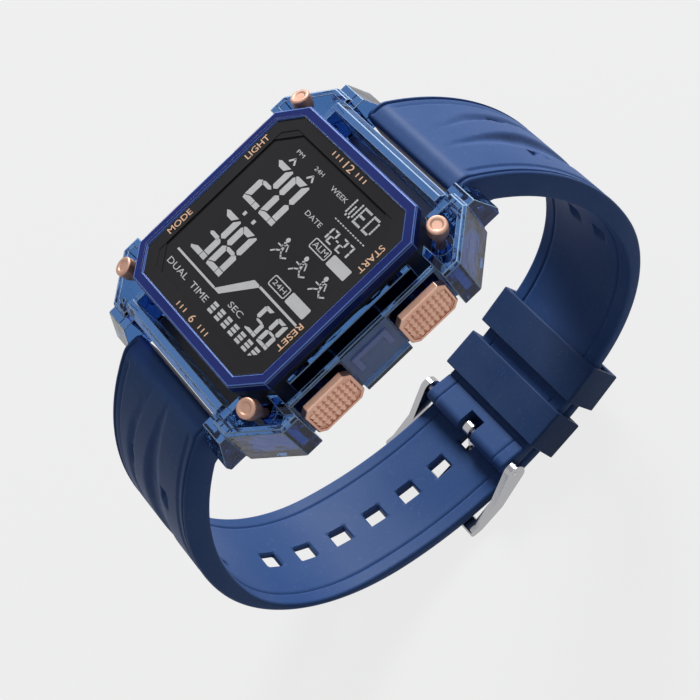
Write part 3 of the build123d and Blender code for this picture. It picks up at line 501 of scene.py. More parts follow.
class Line:
    """One line of the strap's side view, read by the distance along it."""

    def __init__(self, parts):
        points = np.concatenate(parts)
        points = points[np.r_[True, np.hypot(*np.diff(points, axis=0).T) > 1e-6]]
        self.points = points
        self.lengths = np.r_[0, np.cumsum(np.hypot(*np.diff(points, axis=0).T))]
        self.total = self.lengths[-1]
        along = np.gradient(points, self.lengths, axis=0)
        along /= np.hypot(*along.T)[:, None]
        self.along = along
        self.lowest = self.lengths[np.argmin(points[:, 1])]

    def read(self, table, distance):
        return np.array([np.interp(distance, self.lengths, table[:, i]) for i in (0, 1)])

    def point(self, distance):
        return self.read(self.points, distance)

    def outwards(self, distance):
        """Unit vector away from the wrist."""
        turn = self.read(self.along, distance)
        turn /= np.hypot(*turn)
        return np.array([-turn[1], turn[0]])

    def opposite(self, point, outwards):
        """Distance along this line where it lies straight out from a point of the inner line."""
        apart = self.points - point
        along = np.array([outwards[1], -outwards[0]])
        miss = np.abs(apart @ along)
        miss[(np.hypot(*apart.T) > THICKEST) | (apart @ outwards < -0.5)] = np.inf
        return self.lengths[np.argmin(miss)]


class Face:
    """Upper arc, flank arc and bottom arc of one face of a strap half."""

    def __init__(self, widest, height, radius, centre, bottom):
        reach = height - centre
        flank = (bottom**2 - widest**2 - reach**2) / (2 * (bottom - widest))
        self.upper = ((widest - radius, height), radius)
        self.flank = ((widest - flank, height), flank)
        self.bottom = ((0, centre), bottom)
        self.turn = atan2(reach, widest - flank)

    def run(self, start, end):
        return [arc(*self.upper, start, 0), arc(*self.flank, 0, self.turn), arc(*self.bottom, self.turn, end)]


def outer_lines(widest, height, foot, centre, bottom, end):
    side, rise = widest - ROOT - foot, TOP - SHOULDER - height
    radius = (side**2 + rise**2 - SHOULDER**2) / (2 * (side - SHOULDER))
    face = Face(widest, height, radius, centre, bottom)
    middle = (ROOT + foot, TOP - SHOULDER)
    angle = atan2(middle[1] - face.upper[0][1], middle[0] - face.upper[0][0])
    corner = (ROOT - ROOT_LIP + ROOT_ROUND, TOP - ROOT_ROUND)
    start = [arc(corner, ROOT_ROUND, pi, pi / 2), straight((corner[0], TOP), (middle[0], TOP)),
             arc(middle, SHOULDER, pi / 2, angle)]
    return start + face.run(angle, end)


def inner_lines(widest, height, foot, top, centre, bottom, end):
    side, rise = widest - ROOT - foot, top - height
    radius = (side**2 + rise**2) / (2 * side)
    face = Face(widest, height, radius, centre, bottom)
    angle = asin((top - height) / radius)
    point = (face.upper[0][0] + radius * cos(angle), top)
    return [straight((ROOT - ROOT_LIP, ROOT_LOW), point)] + face.run(angle, end)


DOWN = -pi / 2
TIP = DOWN - TAIL_LENGTH / TAIL_RADIUS
PIN_ANGLE = DOWN + asin(PIN[0] / (SHORT_OUTER - FOLD_RADIUS))


def long_lines():
    """Inner and outer line of the half with the holes, from its root to the tip of its tail."""
    outer = outer_lines(*LONG_OUTER_WIDEST, LONG_SHOULDER_RUN, LOOP_CENTRE, LOOP_RADIUS + TAIL_THICK, DOWN)
    outer.append(arc((0, TAIL_CENTRE), TAIL_RADIUS + TAIL_THICK, DOWN, TIP))
    inner = inner_lines(*LONG_INNER_WIDEST, *LONG_FOOT, LOOP_CENTRE, LOOP_RADIUS, DOWN)
    inner.append(arc((0, TAIL_CENTRE), TAIL_RADIUS, DOWN, TIP))
    return Line(inner), Line(outer)


def short_lines():
    """Inner and outer line of the half with the buckle, from its root to the nose of its fold."""
    outer = outer_lines(*SHORT_OUTER_WIDEST, SHORT_SHOULDER_RUN, TAIL_CENTRE, SHORT_OUTER, PIN_ANGLE)
    outer.append(arc(PIN, FOLD_RADIUS, PIN_ANGLE, PIN_ANGLE - pi / 2))
    run = PIN_ANGLE + FOLD_LENGTH / SHORT_INNER
    inner = inner_lines(*SHORT_INNER_WIDEST, *SHORT_FOOT, TAIL_CENTRE, SHORT_INNER, run)
    nose = (PIN[0] - FOLD_RADIUS * cos(PIN_ANGLE), PIN[1] - FOLD_RADIUS * sin(PIN_ANGLE))
    meets = (SHORT_INNER * cos(run), TAIL_CENTRE + SHORT_INNER * sin(run))
    inner += [straight(meets, nose), arc(PIN, FOLD_RADIUS, PIN_ANGLE + pi, PIN_ANGLE + 1.5 * pi)]
    return Line(inner), Line(outer)


def stations(keys, step):
    """Sorted places that hold every key, no further apart than a step."""
    keys = sorted(set(round(key, 4) for key in keys))
    places = []
    for low, high in zip(keys, keys[1:]):
        count = max(1, int(np.ceil((high - low) / step - 1e-6)))
        places += [low + (high - low) * i / count for i in range(count)]
    return places + [keys[-1]]


def ease(low, high, value):
    share = min(1.0, max(0.0, (value - low) / (high - low)))
    return share * share * (3 - 2 * share)


def ditch(place, groove, depth):
    """Round-bottomed groove, given by its middle and half width, as a height below the face."""
    offset, half_width = place - groove[0], groove[1]
    if abs(offset) >= half_width:
        return 0.0
    return -depth * (0.5 + 0.5 * cos(pi * offset / half_width))


def along_table(place, table):
    return float(np.interp(place, [row[0] for row in table], [row[1] for row in table]))


def rounding(inwards, radius):
    """How much a rounded edge lies below its face, by the distance in from the edge."""
    if inwards >= radius:
        return 0.0
    return (radius * radius - (radius - inwards) ** 2) ** 0.5 - radius


# Flame-shaped hollows: distance from the root, then the ridge and the far side across the strap
LOWER_FLAME = {
    "ridge": [(5, 2.9), (8, 2.1), (12, 1.2), (16, 0.1), (20, -0.9), (26, -2.2), (34, -2.6), (46, -1.4)],
    "far": [(5, 3.0), (10, 3.3), (16, 3.5), (22, 4.0), (26, 4.9), (34, 4.6), (46, 1.6)],
    "depth": [(5, 0.0), (10, 0.25), (16, 0.62), (23, 1.0), (30, 0.9), (38, 0.55), (46, 0.0)]}
UPPER_FLAME = {
    "ridge": [(5, -1.2), (10, -2.3), (16, -3.9), (22, -5.0), (30, -5.9), (40, -5.6)],
    "far": [(5, -1.3), (10, -3.3), (16, -6.2), (22, -7.0), (30, -7.6), (40, -6.4)],
    "depth": [(5, 0.0), (11, 0.18), (18, 0.5), (24, 0.62), (31, 0.42), (40, 0.0)]}
RIDGE_SHARE, FLOOR_SHARE, POCKET_WALL, POCKET_RAMP = 0.24, 0.30, 0.35, 1.4


def flame(across, along, table, share):
    """Height of one hollow: steep at its ridge, easing out to the far side."""
    depth = along_table(along, table["depth"]) * share
    if depth <= 0.0:
        return 0.0
    ridge, far = along_table(along, table["ridge"]), along_table(along, table["far"])
    place = (across - ridge) / (far - ridge)
    if not 0.0 < place < 1.0:
        return 0.0
    return -depth * ease(0.0, RIDGE_SHARE, place) * (1.0 - ease(FLOOR_SHARE, 1.0, place))


def pocket(across, along, x_range, s_range, depth, wall=POCKET_WALL):
    """Small moulded pocket with three steep walls and a ramp at its far end."""
    (left, right), (near, far) = x_range, s_range
    inside = ease(left, left + wall, across) * (1 - ease(right - wall, right, across))
    return -depth * inside * ease(near, near + wall, along) * (1 - ease(far - POCKET_RAMP, far, along))


# Grooves by their distance in from the edge and their half width, then where each begins along the strap
RIM_GROOVE, BAND_GROOVE, LINING_GROOVE = (0.98, 0.34), (2.5, 0.4), (2.9, 0.34)
RIM_FROM, BAND_FROM, LINING_FROM = (0.8, 2.2), (4.6, 5.6), (9.0, 12.0)
BAND_NEAR, BAND_FAR, BAND_SUNK, BAND_GROOVE_DEPTH = (1.25, 1.5), (2.3, 2.62), 0.16, 0.2
SEAM_BACK, SEAM_HALF, SEAM_DEPTH = 4.5, 0.3, 0.22
WIDE_POCKET, NARROW_POCKET = ((3.0, 6.3), (22.3, 26.6), 0.95), ((-6.2, -4.9), (22.0, 26.0), 0.45)
LONG_INNER_POCKETS = ((3.0, 6.2), (39.5, 42.6)), ((-3.6, -1.0), (39.5, 42.6))
SHORT_INNER_POCKETS = ((2.7, 6.0), (44.0, 47.5)), ((-3.8, -0.8), (44.0, 47.5))
INNER_POCKET_DEPTH, INNER_POCKET_WALL = 0.8, 0.45
LONG_SHIFT, LONG_HOLES = -2.4, (-3, 6)


class StrapHalf:
    """What differs between the two halves, and the relief of both faces."""

    def __init__(self, lines, side, holes, inner_pockets, outer_shift, fold):
        self.inner, self.outer = lines
        self.side, self.holes, self.inner_pockets = side, holes, inner_pockets
        self.outer_shift, self.fold = outer_shift, fold

    def half_width(self, height, to_end):
        taper = min(1.0, max(0.0, (TAPER_FROM - height) / TAPER_RUN))
        half = HALF + (END_HALF - HALF) * taper
        if self.fold or to_end >= TIP_ROUND:
            return half
        return half - TIP_ROUND + (TIP_ROUND ** 2 - (TIP_ROUND - to_end) ** 2) ** 0.5

    def in_hole(self, across, along, slack=0.0):
        near = any(abs(along - hole) < HOLE_HALF_LENGTH + slack for hole in self.holes)
        return near and abs(across) < HOLE_HALF_WIDTH + slack

    def placed(self, x, inner_place, outer_place, outside, sizes):
        """Where a point of the sheet comes to lie, in millimetres."""
        line, place = (self.outer, outer_place) if outside else (self.inner, inner_place)
        point, outwards = line.point(place), line.outwards(place)
        to_end, rim = self.inner.total - inner_place, sizes.edge_round / MM
        half_width = self.half_width(point[1], to_end)
        height = rounding(HALF - abs(x), rim)
        if not self.fold and to_end < rim:
            height = min(height, rounding(max(to_end, 0.0), rim))
        if self.in_hole(x, inner_place, SLACK):
            height -= sizes.hole_round / MM
        elif outside:
            height += self.outer_relief(x, outer_place, sizes)
        else:
            height += self.inner_relief(x, inner_place, sizes)
        if self.fold:
            height *= ease(0.0, NOSE_RUN, to_end)
        point = point + outwards * (height if outside else -height)
        wide_x = abs(x)
        if wide_x > STEADY_HALF:
            share = (half_width - STEADY_HALF) / (HALF - STEADY_HALF)
            wide_x = STEADY_HALF + (wide_x - STEADY_HALF) * share
        return (wide_x if x >= 0 else -wide_x, self.side * point[0], point[1])

    def outer_relief(self, across, along, sizes):
        """Height of the outer face's relief, without its edges."""
        inwards = HALF - abs(across)
        height = ditch(inwards, RIM_GROOVE, sizes.rim_groove / MM) * ease(*RIM_FROM, along)
        start, deep = ease(*BAND_FROM, along), sizes.hollow / MM
        height -= BAND_SUNK * start * (1 - ease(*BAND_FAR, inwards)) * ease(*BAND_NEAR, inwards)
        height += ditch(inwards, BAND_GROOVE, BAND_GROOVE_DEPTH) * start
        place = along - self.outer_shift
        height += flame(across, place, LOWER_FLAME, deep) + flame(across, place, UPPER_FLAME, deep)
        return height + pocket(across, place, *WIDE_POCKET) + pocket(across, place, *NARROW_POCKET)

    def inner_relief(self, across, along, sizes):
        inwards = HALF - abs(across)
        height = ditch(inwards, LINING_GROOVE, sizes.lining_groove / MM) * ease(*LINING_FROM, along)
        for ranges in self.inner_pockets:
            height += pocket(across, along, *ranges, INNER_POCKET_DEPTH, INNER_POCKET_WALL)
        if self.fold:
            seam = self.inner.total - FOLD_RADIUS * pi / 2 - SEAM_BACK
            height += ditch(along, (seam, SEAM_HALF), SEAM_DEPTH)
        return height


def strap_rows(half, step):
    """Pairs of distances along the inner and the outer line, one for each row of the mesh."""
    reach, top = SHORT_FOOT if half.fold else LONG_FOOT
    first = hypot(reach, ROOT_LOW - top)
    last = half.inner.total
    if half.fold:
        last -= FOLD_RADIUS * pi / 2 + FOLD_LENGTH - FOLD_OVERLAP
    keys = [first, last]
    for centre in half.holes:
        for reach in (HOLE_HALF_LENGTH, HOLE_HALF_LENGTH + HOLE_RIM):
            keys += [centre - reach, centre + reach]
    for _, (low, high) in half.inner_pockets:
        keys += [low, low + 0.2, low + INNER_POCKET_WALL, high]
    if not half.fold:
        keys += [last - back for back in TIP_ROWS]
    keys = [key for key in keys if first <= key <= last]
    rows = []
    for place in stations(keys, step):
        point, outwards = half.inner.point(place), half.inner.outwards(place)
        rows.append((place, half.outer.opposite(point, outwards)))
    if not half.fold:
        rows[-1] = (half.inner.total, half.outer.total)
    head = rows[0][1]
    shares = stations([place / head for place in (0, *ROOT_ROWS, head)], step / head)
    rows = [(first * share, head * share) for share in shares[:-1]] + rows
    if half.fold:
        left, left_out = half.inner.total - rows[-1][0], half.outer.total - rows[-1][1]
        slot_at = 1 - SLOT_RUN / left
        start = rows[-1]
        for share in stations([0, slot_at, 1 - NOSE_ROW / left, 1], FOLD_STEP / left)[1:]:
            rows.append((start[0] + left * share, start[1] + left_out * share))
    inner_places = [row[0] for row in rows]
    outer_places = list(np.maximum.accumulate([row[1] for row in rows]))
    return inner_places, outer_places


def strap_mesh(half, sizes):
    """The strap half as a fine sheet with its holes, given its thickness and its relief."""
    inner_places, outer_places = strap_rows(half, sizes.row_step / MM)
    keys = [HALF - inwards for inwards in EDGE_COLUMNS] + [HOLE_HALF_WIDTH, SLOT_HALF_WIDTH]
    columns = stations(keys + [-key for key in keys] + [0], COLUMN_STEP)
    wide, rows = len(columns) - 1, len(inner_places) - 1
    bm = bmesh.new()
    bmesh.ops.create_grid(bm, x_segments=wide, y_segments=rows, size=0.5)
    across = bm.verts.layers.float.new("across")
    row = bm.verts.layers.int.new("row")
    for vert in bm.verts:
        vert[across] = columns[round((vert.co.x + 0.5) * wide)]
        vert[row] = round((vert.co.y + 0.5) * rows)
    slot_from = half.inner.total - SLOT_RUN
    gone = []
    for face in bm.faces:
        x = sum(vert[across] for vert in face.verts) / 4
        place = sum(inner_places[vert[row]] for vert in face.verts) / 4
        if half.in_hole(x, place) or (half.fold and abs(x) < SLOT_HALF_WIDTH and place > slot_from):
            gone.append(face)
    bmesh.ops.delete(bm, geom=gone, context="FACES")
    raised = bmesh.ops.extrude_face_region(bm, geom=bm.faces[:])["geom"]
    outer_side = set(only(bmesh.types.BMVert, raised))
    for vert in bm.verts:
        places = inner_places[vert[row]], outer_places[vert[row]]
        vert.co = mm(*half.placed(vert[across], *places, vert in outer_side, sizes))
    bmesh.ops.remove_doubles(bm, verts=bm.verts[:], dist=0.004 * MM)
    bmesh.ops.recalc_face_normals(bm, faces=bm.faces[:])
    return bm


def hole_places(line, first, last):
    """Distances along the inner line of the holes, counted from the one that the prong is in."""
    return [line.lowest + PRONG_HOLE - HOLE_PITCH * step for step in range(first, last + 1)]


# Display and legends, drawn on the dial as seen from above, in millimetres

def flat_shape(bm, points):
    bm.faces.new(vertices(bm, points))


DIGIT = {
    "a": [[(0.07, 0.97), (0.16, 1.0), (0.77, 1.0), (0.58, 0.877), (0.30, 0.877)]],
    "b": [[(0.99, 0.97), (0.99, 0.565), (0.84, 0.515), (0.68, 0.565), (0.68, 0.88), (0.90, 0.99)]],
    "f": [[(0.0, 0.91), (0.065, 0.95), (0.31, 0.865), (0.31, 0.565), (0.155, 0.515), (0.0, 0.565)]],
    "g": [[(0.17, 0.475), (0.30, 0.515), (0.68, 0.515), (0.80, 0.475), (0.68, 0.432), (0.28, 0.432)]],
    "e": [[(0.0, 0.445), (0.155, 0.495), (0.31, 0.445), (0.31, 0.145), (0.0, 0.075)]],
    "c": [[(0.68, 0.445), (0.84, 0.495), (0.99, 0.445), (0.99, 0.130), (0.68, 0.130)]],
    "d": [[(0.01, 0.06), (0.28, 0.114), (0.65, 0.114), (0.65, 0.0), (0.06, 0.0)],
          [(0.68, 0.114), (1.0, 0.114), (1.0, 0.0), (0.68, 0.0)]],
    "tip_a": [[(-0.02, 0.965), (0.12, 1.0), (0.77, 1.0), (0.55, 0.877), (0.22, 0.877)]],
    "tip_g": [[(0.18, 0.475), (0.30, 0.515), (0.70, 0.515), (0.80, 0.475), (0.68, 0.432), (0.28, 0.432)]],
    "tip_d": [[(-0.03, 0.04), (0.28, 0.114), (0.65, 0.114), (0.65, 0.0), (0.06, 0.0)],
              [(0.68, 0.114), (1.0, 0.114), (1.0, 0.0), (0.68, 0.0)]],
}
FIGURES = {"0": "a b f e c d", "2": "tip_a b g e d", "3": "tip_a b tip_g c tip_d", "8": "a b f g e c d",
           "5": "a f g c tip_d", "1": "b c", "7": "tip_a b c"}


def figure(bm, sign, low, wide, high):
    """One display figure in a box."""
    for part in FIGURES[sign].split():
        for points in DIGIT[part]:
            flat_shape(bm, [(low[0] + x * wide, low[1] + y * high) for x, y in points])


def rectangle(bm, x_range, y_range):
    (x0, x1), (y0, y1) = x_range, y_range
    flat_shape(bm, [(x0, y0), (x1, y0), (x1, y1), (x0, y1)])


def around(middle, size):
    """Ranges of a box by its middle and its size."""
    return [(place - reach / 2, place + reach / 2) for place, reach in zip(middle, size)]


def rounded(bm, x_range, y_range, radius, inset=0.0):
    """Loop of a rounded rectangle."""
    (x0, x1), (y0, y1) = x_range, y_range
    places, left = [], radius - inset
    for x, y, start in ((x1 - radius, y1 - radius, 0), (x0 + radius, y1 - radius, 1),
                        (x0 + radius, y0 + radius, 2), (x1 - radius, y0 + radius, 3)):
        for turn in range(5):
            angle = (start + turn / 4) * pi / 2
            places.append((x + left * cos(angle), y + left * sin(angle)))
    return vertices(bm, places)


def stroke(bm, points, width):
    """Line of even width, as quads that overlap where it bends."""
    for (x0, y0), (x1, y1) in zip(points, points[1:]):
        long = hypot(x1 - x0, y1 - y0)
        tx, ty = (x1 - x0) / long * width / 2, (y1 - y0) / long * width / 2
        x0, y0, x1, y1 = x0 - tx / 2, y0 - ty / 2, x1 + tx / 2, y1 + ty / 2
        flat_shape(bm, [(x0 - ty, y0 + tx), (x0 + ty, y0 - tx), (x1 + ty, y1 - tx), (x1 - ty, y1 + tx)])


def runner(bm, x, y):
    """Plain running figure of a few strokes."""
    head = bmesh.ops.create_circle(bm, cap_ends=True, radius=0.42 * MM, segments=16)["verts"]
    bmesh.ops.translate(bm, vec=mm(x + 0.12, y + 2.2, 0), verts=head)
    for points, width in (
            ([(0.12, 1.62), (0.45, 1.05), (0.62, 0.35)], 0.5),
            ([(0.30, 1.50), (0.95, 1.62), (1.45, 0.75)], 0.24),
            ([(0.25, 1.45), (-0.05, 0.85), (-0.85, 0.85)], 0.24),
            ([(0.55, 0.40), (-0.35, -0.15), (-0.95, -0.75)], 0.27),
            ([(0.60, 0.35), (1.05, -0.10), (1.55, -0.50), (2.35, 0.02)], 0.27)):
        stroke(bm, [(x + a, y + b) for a, b in points], width)


def word(bm, text, x_range, y_range, turn=0, weight=0.0):
    """Plain flat word that fills a box. With turn 1 it reads towards +Y, with -1 towards -Y."""
    curve = bpy.data.curves.new("word", "FONT")
    curve.body, curve.size, curve.offset, curve.resolution_u = text, 1.0, weight, 3
    holder = linked("word", curve)
    graph = bpy.context.evaluated_depsgraph_get()
    mesh = bpy.data.meshes.new_from_object(holder.evaluated_get(graph))
    bpy.data.objects.remove(holder)
    places = np.array([vert.co[:2] for vert in mesh.vertices])
    low, high = places.min(axis=0), places.max(axis=0)
    wide, tall = x_range[1] - x_range[0], y_range[1] - y_range[0]
    for vert, (u, v) in zip(mesh.vertices, (places - low) / (high - low)):
        if turn > 0:
            x, y = x_range[1] - v * wide, y_range[0] + u * tall
        elif turn < 0:
            x, y = x_range[0] + v * wide, y_range[1] - u * tall
        else:
            x, y = x_range[0] + u * wide, y_range[0] + v * tall
        vert.co = mm(x, y, 0)
    bm.from_mesh(mesh)
    bpy.data.meshes.remove(mesh)


PRINT_HEIGHT, PRINT_GAP, DISPLAY_HEIGHT = 14.21, 0.005, 13.985
PRINT_OUTSIDE, PRINT_INSIDE, TICK_HALF, SIDE_WORD_WEIGHT = -0.08, -2.2, 0.11, 0.006
DIAL_UNITS, DIAL_LEFT, DIAL_TOP, DIAL_SCALE = 40, 18.7, 19, 0.965


def dial(across, down):
    """Place on the dial, from a drawing with DIAL_UNITS to a millimetre."""
    return ((across / DIAL_UNITS - DIAL_LEFT) * DIAL_SCALE, DIAL_TOP - down / DIAL_UNITS)


def dial_ranges(left, right, top, foot):
    (x0, y0), (x1, y1) = dial(left, foot), dial(right, top)
    return (x0, x1), (y0, y1)


def box(bm, left, right, top, foot):
    rectangle(bm, *dial_ranges(left, right, top, foot))


MATRIX = {"W": ("10001", "10001", "10101", "10101", "10101", "10101", "01010"),
          "E": ("11111", "10000", "10000", "11110", "10000", "10000", "11111"),
          "D": ("11110", "10001", "10001", "10001", "10001", "10001", "11110")}


# Operators: one for each group of pieces, and one for the stage

FINE_EDGE, BACK_EDGE, SCREW_EDGE, GLASS_EDGE, PLATE_EDGE = mm(0.1, 0.15, 0.06, 0.22, 0.08)


def settings(name):
    return getattr(bpy.context.scene, "watch_" + name)


def shade(name, share=1.0):
    """A colour from the panel, or a darker tone of it."""
    return tuple(part * share for part in getattr(settings("colours"), name))


# Stage: each lamp's direction, its distance and size in metres, and its power in watts

FLOOR_GAP, FLOOR_HALF = 0.05 * MM, 4.0
LAMPS = {"key lamp": ((-0.60, 0.62, 0.50), 0.75, 0.24, 6.4),
         "camera side lamp": ((0.75, -0.25, 0.60), 0.9, 0.5, 0.3),
         "top lamp": ((0.1, 0.1, 1.0), 0.8, 0.45, 0.6)}
LAMPS_AIM = Vector(mm(0, 0, -20))
CAMERA_PLACE, CAMERA_TURNS, CAMERA_LENS = mm(187.578, -0.268, 228.471), (28.4657, 25.0172, 52.8011), 96.81


def lay_floor():
    lowest = min(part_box(node)[0].z for node in ("buckle_frame", "keeper_by_tail", "long_strap"))
    bm = bmesh.new()
    bmesh.ops.create_grid(bm, x_segments=1, y_segments=1, size=FLOOR_HALF)
    bmesh.ops.translate(bm, vec=(0, 0, lowest - FLOOR_GAP), verts=bm.verts[:])
    r = Recipe("pale floor")
    matt = r.node("BsdfDiffuse", sockets={"Color": solid(shade("floor")), "Roughness": 0.5})
    mesh_object(bm, "floor", r.done(r.seen_white(matt, 0.80)))


def soft_room():
    """The world: white to look at, and dim for the light that it gives."""
    r = Recipe("soft room", bpy.data.worlds.new("soft room"))
    room = r.node("Background", sockets={"Color": (0.93, 0.96, 1.0, 1.0), "Strength": 0.075})
    white = r.node("Background", sockets={"Color": (0.84, 0.84, 0.845, 1.0), "Strength": 1.0})
    return r.done(r.mixed(r.seen_directly(), room, white), "World")


def hang_lamp(name, direction, distance, size, power):
    data = bpy.data.lights.new(name, "AREA")
    data.energy, data.size = power, size
    lamp = linked(name, data)
    away = Vector(direction).normalized()
    turn = away.to_track_quat("Z", "Y").to_matrix().to_4x4()
    lamp.matrix_world = Matrix.Translation(LAMPS_AIM + away * distance) @ turn
    lamp.visible_transmission = False


def photo_camera():
    """The camera that took the photograph, as fitted to it."""
    data = bpy.data.cameras.new("camera")
    data.lens, data.sensor_width = CAMERA_LENS, 36.0
    data.clip_start, data.clip_end = 0.01, 10.0
    camera = linked("camera", data)
    camera.location = CAMERA_PLACE
    camera.rotation_euler = [radians(turn) for turn in CAMERA_TURNS]
    return camera


class WATCH_OT_stage(bpy.types.Operator):
    """Pale floor, soft studio lamps and the camera"""
    bl_idname = "watch.stage"
    bl_label = "Stage"

    def execute(self, context):
        context.scene.view_settings.view_transform = "Standard"
        lay_floor()
        context.scene.world = soft_room()
        for name, lamp in LAMPS.items():
            hang_lamp(name, *lamp)
        context.scene.camera = photo_camera()
        return {"FINISHED"}


class WATCH_OT_strap(bpy.types.Operator):
    """Both silicone strap halves, with their holes, grooves and hollows"""
    bl_idname = "watch.strap"
    bl_label = "Strap halves"

    def execute(self, context):
        sizes = settings("strap")
        skin = silicone("strap silicone", shade("strap"))
        lines = long_lines()
        holes = hole_places(lines[0], *LONG_HOLES)
        long_half = StrapHalf(lines, -1, holes, LONG_INNER_POCKETS, LONG_SHIFT, False)
        short_half = StrapHalf(short_lines(), 1, [], SHORT_INNER_POCKETS, 0.0, True)
        for node, half in (("long_strap", long_half), ("short_strap", short_half)):
            stands_for(strap_mesh(half, sizes), node, skin, 0.75)
        return {"FINISHED"}


class WATCH_OT_keepers(bpy.types.Operator):
    """Two silicone keepers round the strap"""
    bl_idname = "watch.keepers"
    bl_label = "Strap keepers"

    def execute(self, context):
        # The keepers take the strap silicone at 0.6 of its brightness: painted shade, as they face away from
        # the key lamp.
        skin = silicone("keeper silicone", shade("strap", 0.6))
        for node in ("keeper_by_buckle", "keeper_by_tail"):
            dressed(node, skin, settings("case").keeper_edge, 3)
        return {"FINISHED"}


RIVET_X, RIVET_FOOT_RADIUS, RIVET_HEAD_RADIUS, RIVET_DEPTH = 13.75, 0.85, 0.62, 0.3


class WATCH_OT_buckle(bpy.types.Operator):
    """Polished buckle with its prong, bar and rivets"""
    bl_idname = "watch.buckle"
    bl_label = "Buckle"

    def execute(self, context):
        steel = polished_steel("buckle steel")
        edge = settings("case").buckle_edge
        dressed("buckle_frame", steel, edge, 3)
        dressed("buckle_prong", steel, edge * 0.5, 3)
        dressed("buckle_bar", steel, FINE_EDGE)
        bm = bmesh.new()
        for side in (-1, 1):
            made = bmesh.ops.create_cone(
                bm, cap_ends=True, segments=24, radius1=RIVET_FOOT_RADIUS * MM,
                radius2=RIVET_HEAD_RADIUS * MM, depth=RIVET_DEPTH * MM)["verts"]
            turn = Matrix.Rotation(side * pi / 2, 4, "Y")
            place = Matrix.Translation(mm(side * RIVET_X, *PIN))
            bmesh.ops.transform(bm, matrix=place @ turn, verts=made)
        add_piece(bm, "buckle_rivets", "buckle", steel)
        return {"FINISHED"}


# Dark sheet of painted shade in the end channels: its size, its middle in y, its foot and its thickness, in
# millimetres.
SHADE_SHEET_SIZE, SHADE_SHEET_Y, SHADE_SHEET_Z, SHADE_SHEET_THICK = (27.2, 2.4), 20.28, 3.22, 0.3
POST_HEAD, POST_LEAN = (18.8, 19.3, 13.4), radians(17.0)
POST_FLOOR_RADIUS, POST_FLOOR_DEPTH, POST_FLOOR_THICK = 0.84, 0.18, 0.1


def channel_lining():
    """Dark sheet on the floor of the channels at both ends of the case: painted shade that keeps the
    see-through channels dark.
    """
    bm = bmesh.new()
    for end in (-1, 1):
        rectangle(bm, *around((0, end * SHADE_SHEET_Y), SHADE_SHEET_SIZE))
    raise_flat(bm, SHADE_SHEET_THICK, SHADE_SHEET_Z)
    return bm


def post_head_floors():
    """Flat floors of the dents in the heads of the leaning posts."""
    bm = bmesh.new()
    for across, along in ((1, 1), (1, -1), (-1, 1), (-1, -1)):
        made = bmesh.ops.create_circle(bm, cap_ends=True, segments=32, radius=POST_FLOOR_RADIUS * MM)["verts"]
        lean = Vector((across, along, 2 ** 0.5 / tan(POST_LEAN))).normalized()
        turn = Vector((0, 0, 1)).rotation_difference(lean).to_matrix()
        bmesh.ops.rotate(bm, matrix=turn, verts=made)
        head = Vector((across * POST_HEAD[0], along * POST_HEAD[1], POST_HEAD[2]))
        bmesh.ops.translate(bm, vec=(head - lean * POST_FLOOR_DEPTH) * MM, verts=made)
    raise_flat(bm, -POST_FLOOR_THICK)
    return bm


class WATCH_OT_case(bpy.types.Operator):
    """See-through frame, inner case, corner posts, case back and its screws"""
    bl_idname = "watch.case"
    bl_label = "Case"

    def execute(self, context):
        sizes = settings("case")
        # The pale blue edge material is a painted glint laid on the frame's broken edges.
        glint = enamel("polished frame edge", tint(172, 208, 248), 0.45, 0.0, 0.25)
        dressed("case_frame", clear_plastic("clear blue frame", shade("clear_frame")),
                sizes.frame_edge, 1, edge_material=glint, clamp=False)
        # A near-black sheet laid in the end channels: painted shade.
        shade_sheet = moulded("channel lining", tint(14, 17, 28), 0.4)
        add_piece(channel_lining(), "channel_lining", "watch", shade_sheet)
        dressed("case_barrel", moulded("inner case plastic", tint(30, 33, 46), 0.38), FINE_EDGE)
        # The posts take the rose gold at 0.76 of its brightness: painted shade that dims their highlights.
        metal = satin_metal("rose gold posts", shade("rose", 0.76), 0.48)
        dressed("corner_posts", metal, sizes.metal_edge)
        add_piece(post_head_floors(), "post_head_floors", "watch", metal)
        brushed = polished_steel("case back steel", (0.55, 0.56, 0.58), 0.26, (1.0, 26.0, 26.0))
        dressed("case_back", brushed, BACK_EDGE)
        bright = polished_steel("screw steel", (0.62, 0.62, 0.63), 0.2)
        dressed("case_back_screws", bright, SCREW_EDGE)
        return {"FINISHED"}


class WATCH_OT_bezel(bpy.types.Operator):
    """Royal blue bezel ring and the front glass"""
    bl_idname = "watch.bezel"
    bl_label = "Bezel ring and glass"

    def execute(self, context):
        # The pale blue edge material is a painted glint laid on the ring's broken edges.
        glint = enamel("polished ring edge", tint(104, 142, 226), 0.4, 0.0, 0.3)
        blue = enamel("royal blue ring", shade("ring"), 0.3, 0.08, 0.12)
        dressed("bezel_ring", blue, settings("case").ring_edge, edge_material=glint)
        dressed("front_glass", front_glass_finish("front glass"), GLASS_EDGE)
        return {"FINISHED"}


BRACKET_FOOT_X = 22.92


class WATCH_OT_side_plates(bpy.types.Operator):
    """Smoky plates with their raised brackets, between the pushers"""
    bl_idname = "watch.side_plates"
    bl_label = "Side plates"

    def execute(self, context):
        # The plate is given a paler tint than its own: painted light that makes up for the shade on its face
        # towards the camera.
        smoky = smoky_plate("smoky side plate", tint(126, 158, 220))
        bracket = enamel("side bracket", tint(104, 132, 214), 0.25, 0.3)
        for node, side in (("side_plate_3", 1), ("side_plate_9", -1)):
            piece = dressed(node, smoky, PLATE_EDGE)
            piece.data.materials.append(bracket)
            for face in piece.data.polygons:
                if face.center.x * side > BRACKET_FOOT_X * MM:
                    face.material_index = 1
        return {"FINISHED"}


PUSHER_SIDES = {"start": 1, "reset": 1, "light": -1, "mode": -1}
GRIP_SIZE, GRIP_BASE, GRIP_SUNK = (8.2, 5.8), 0.08, 0.38


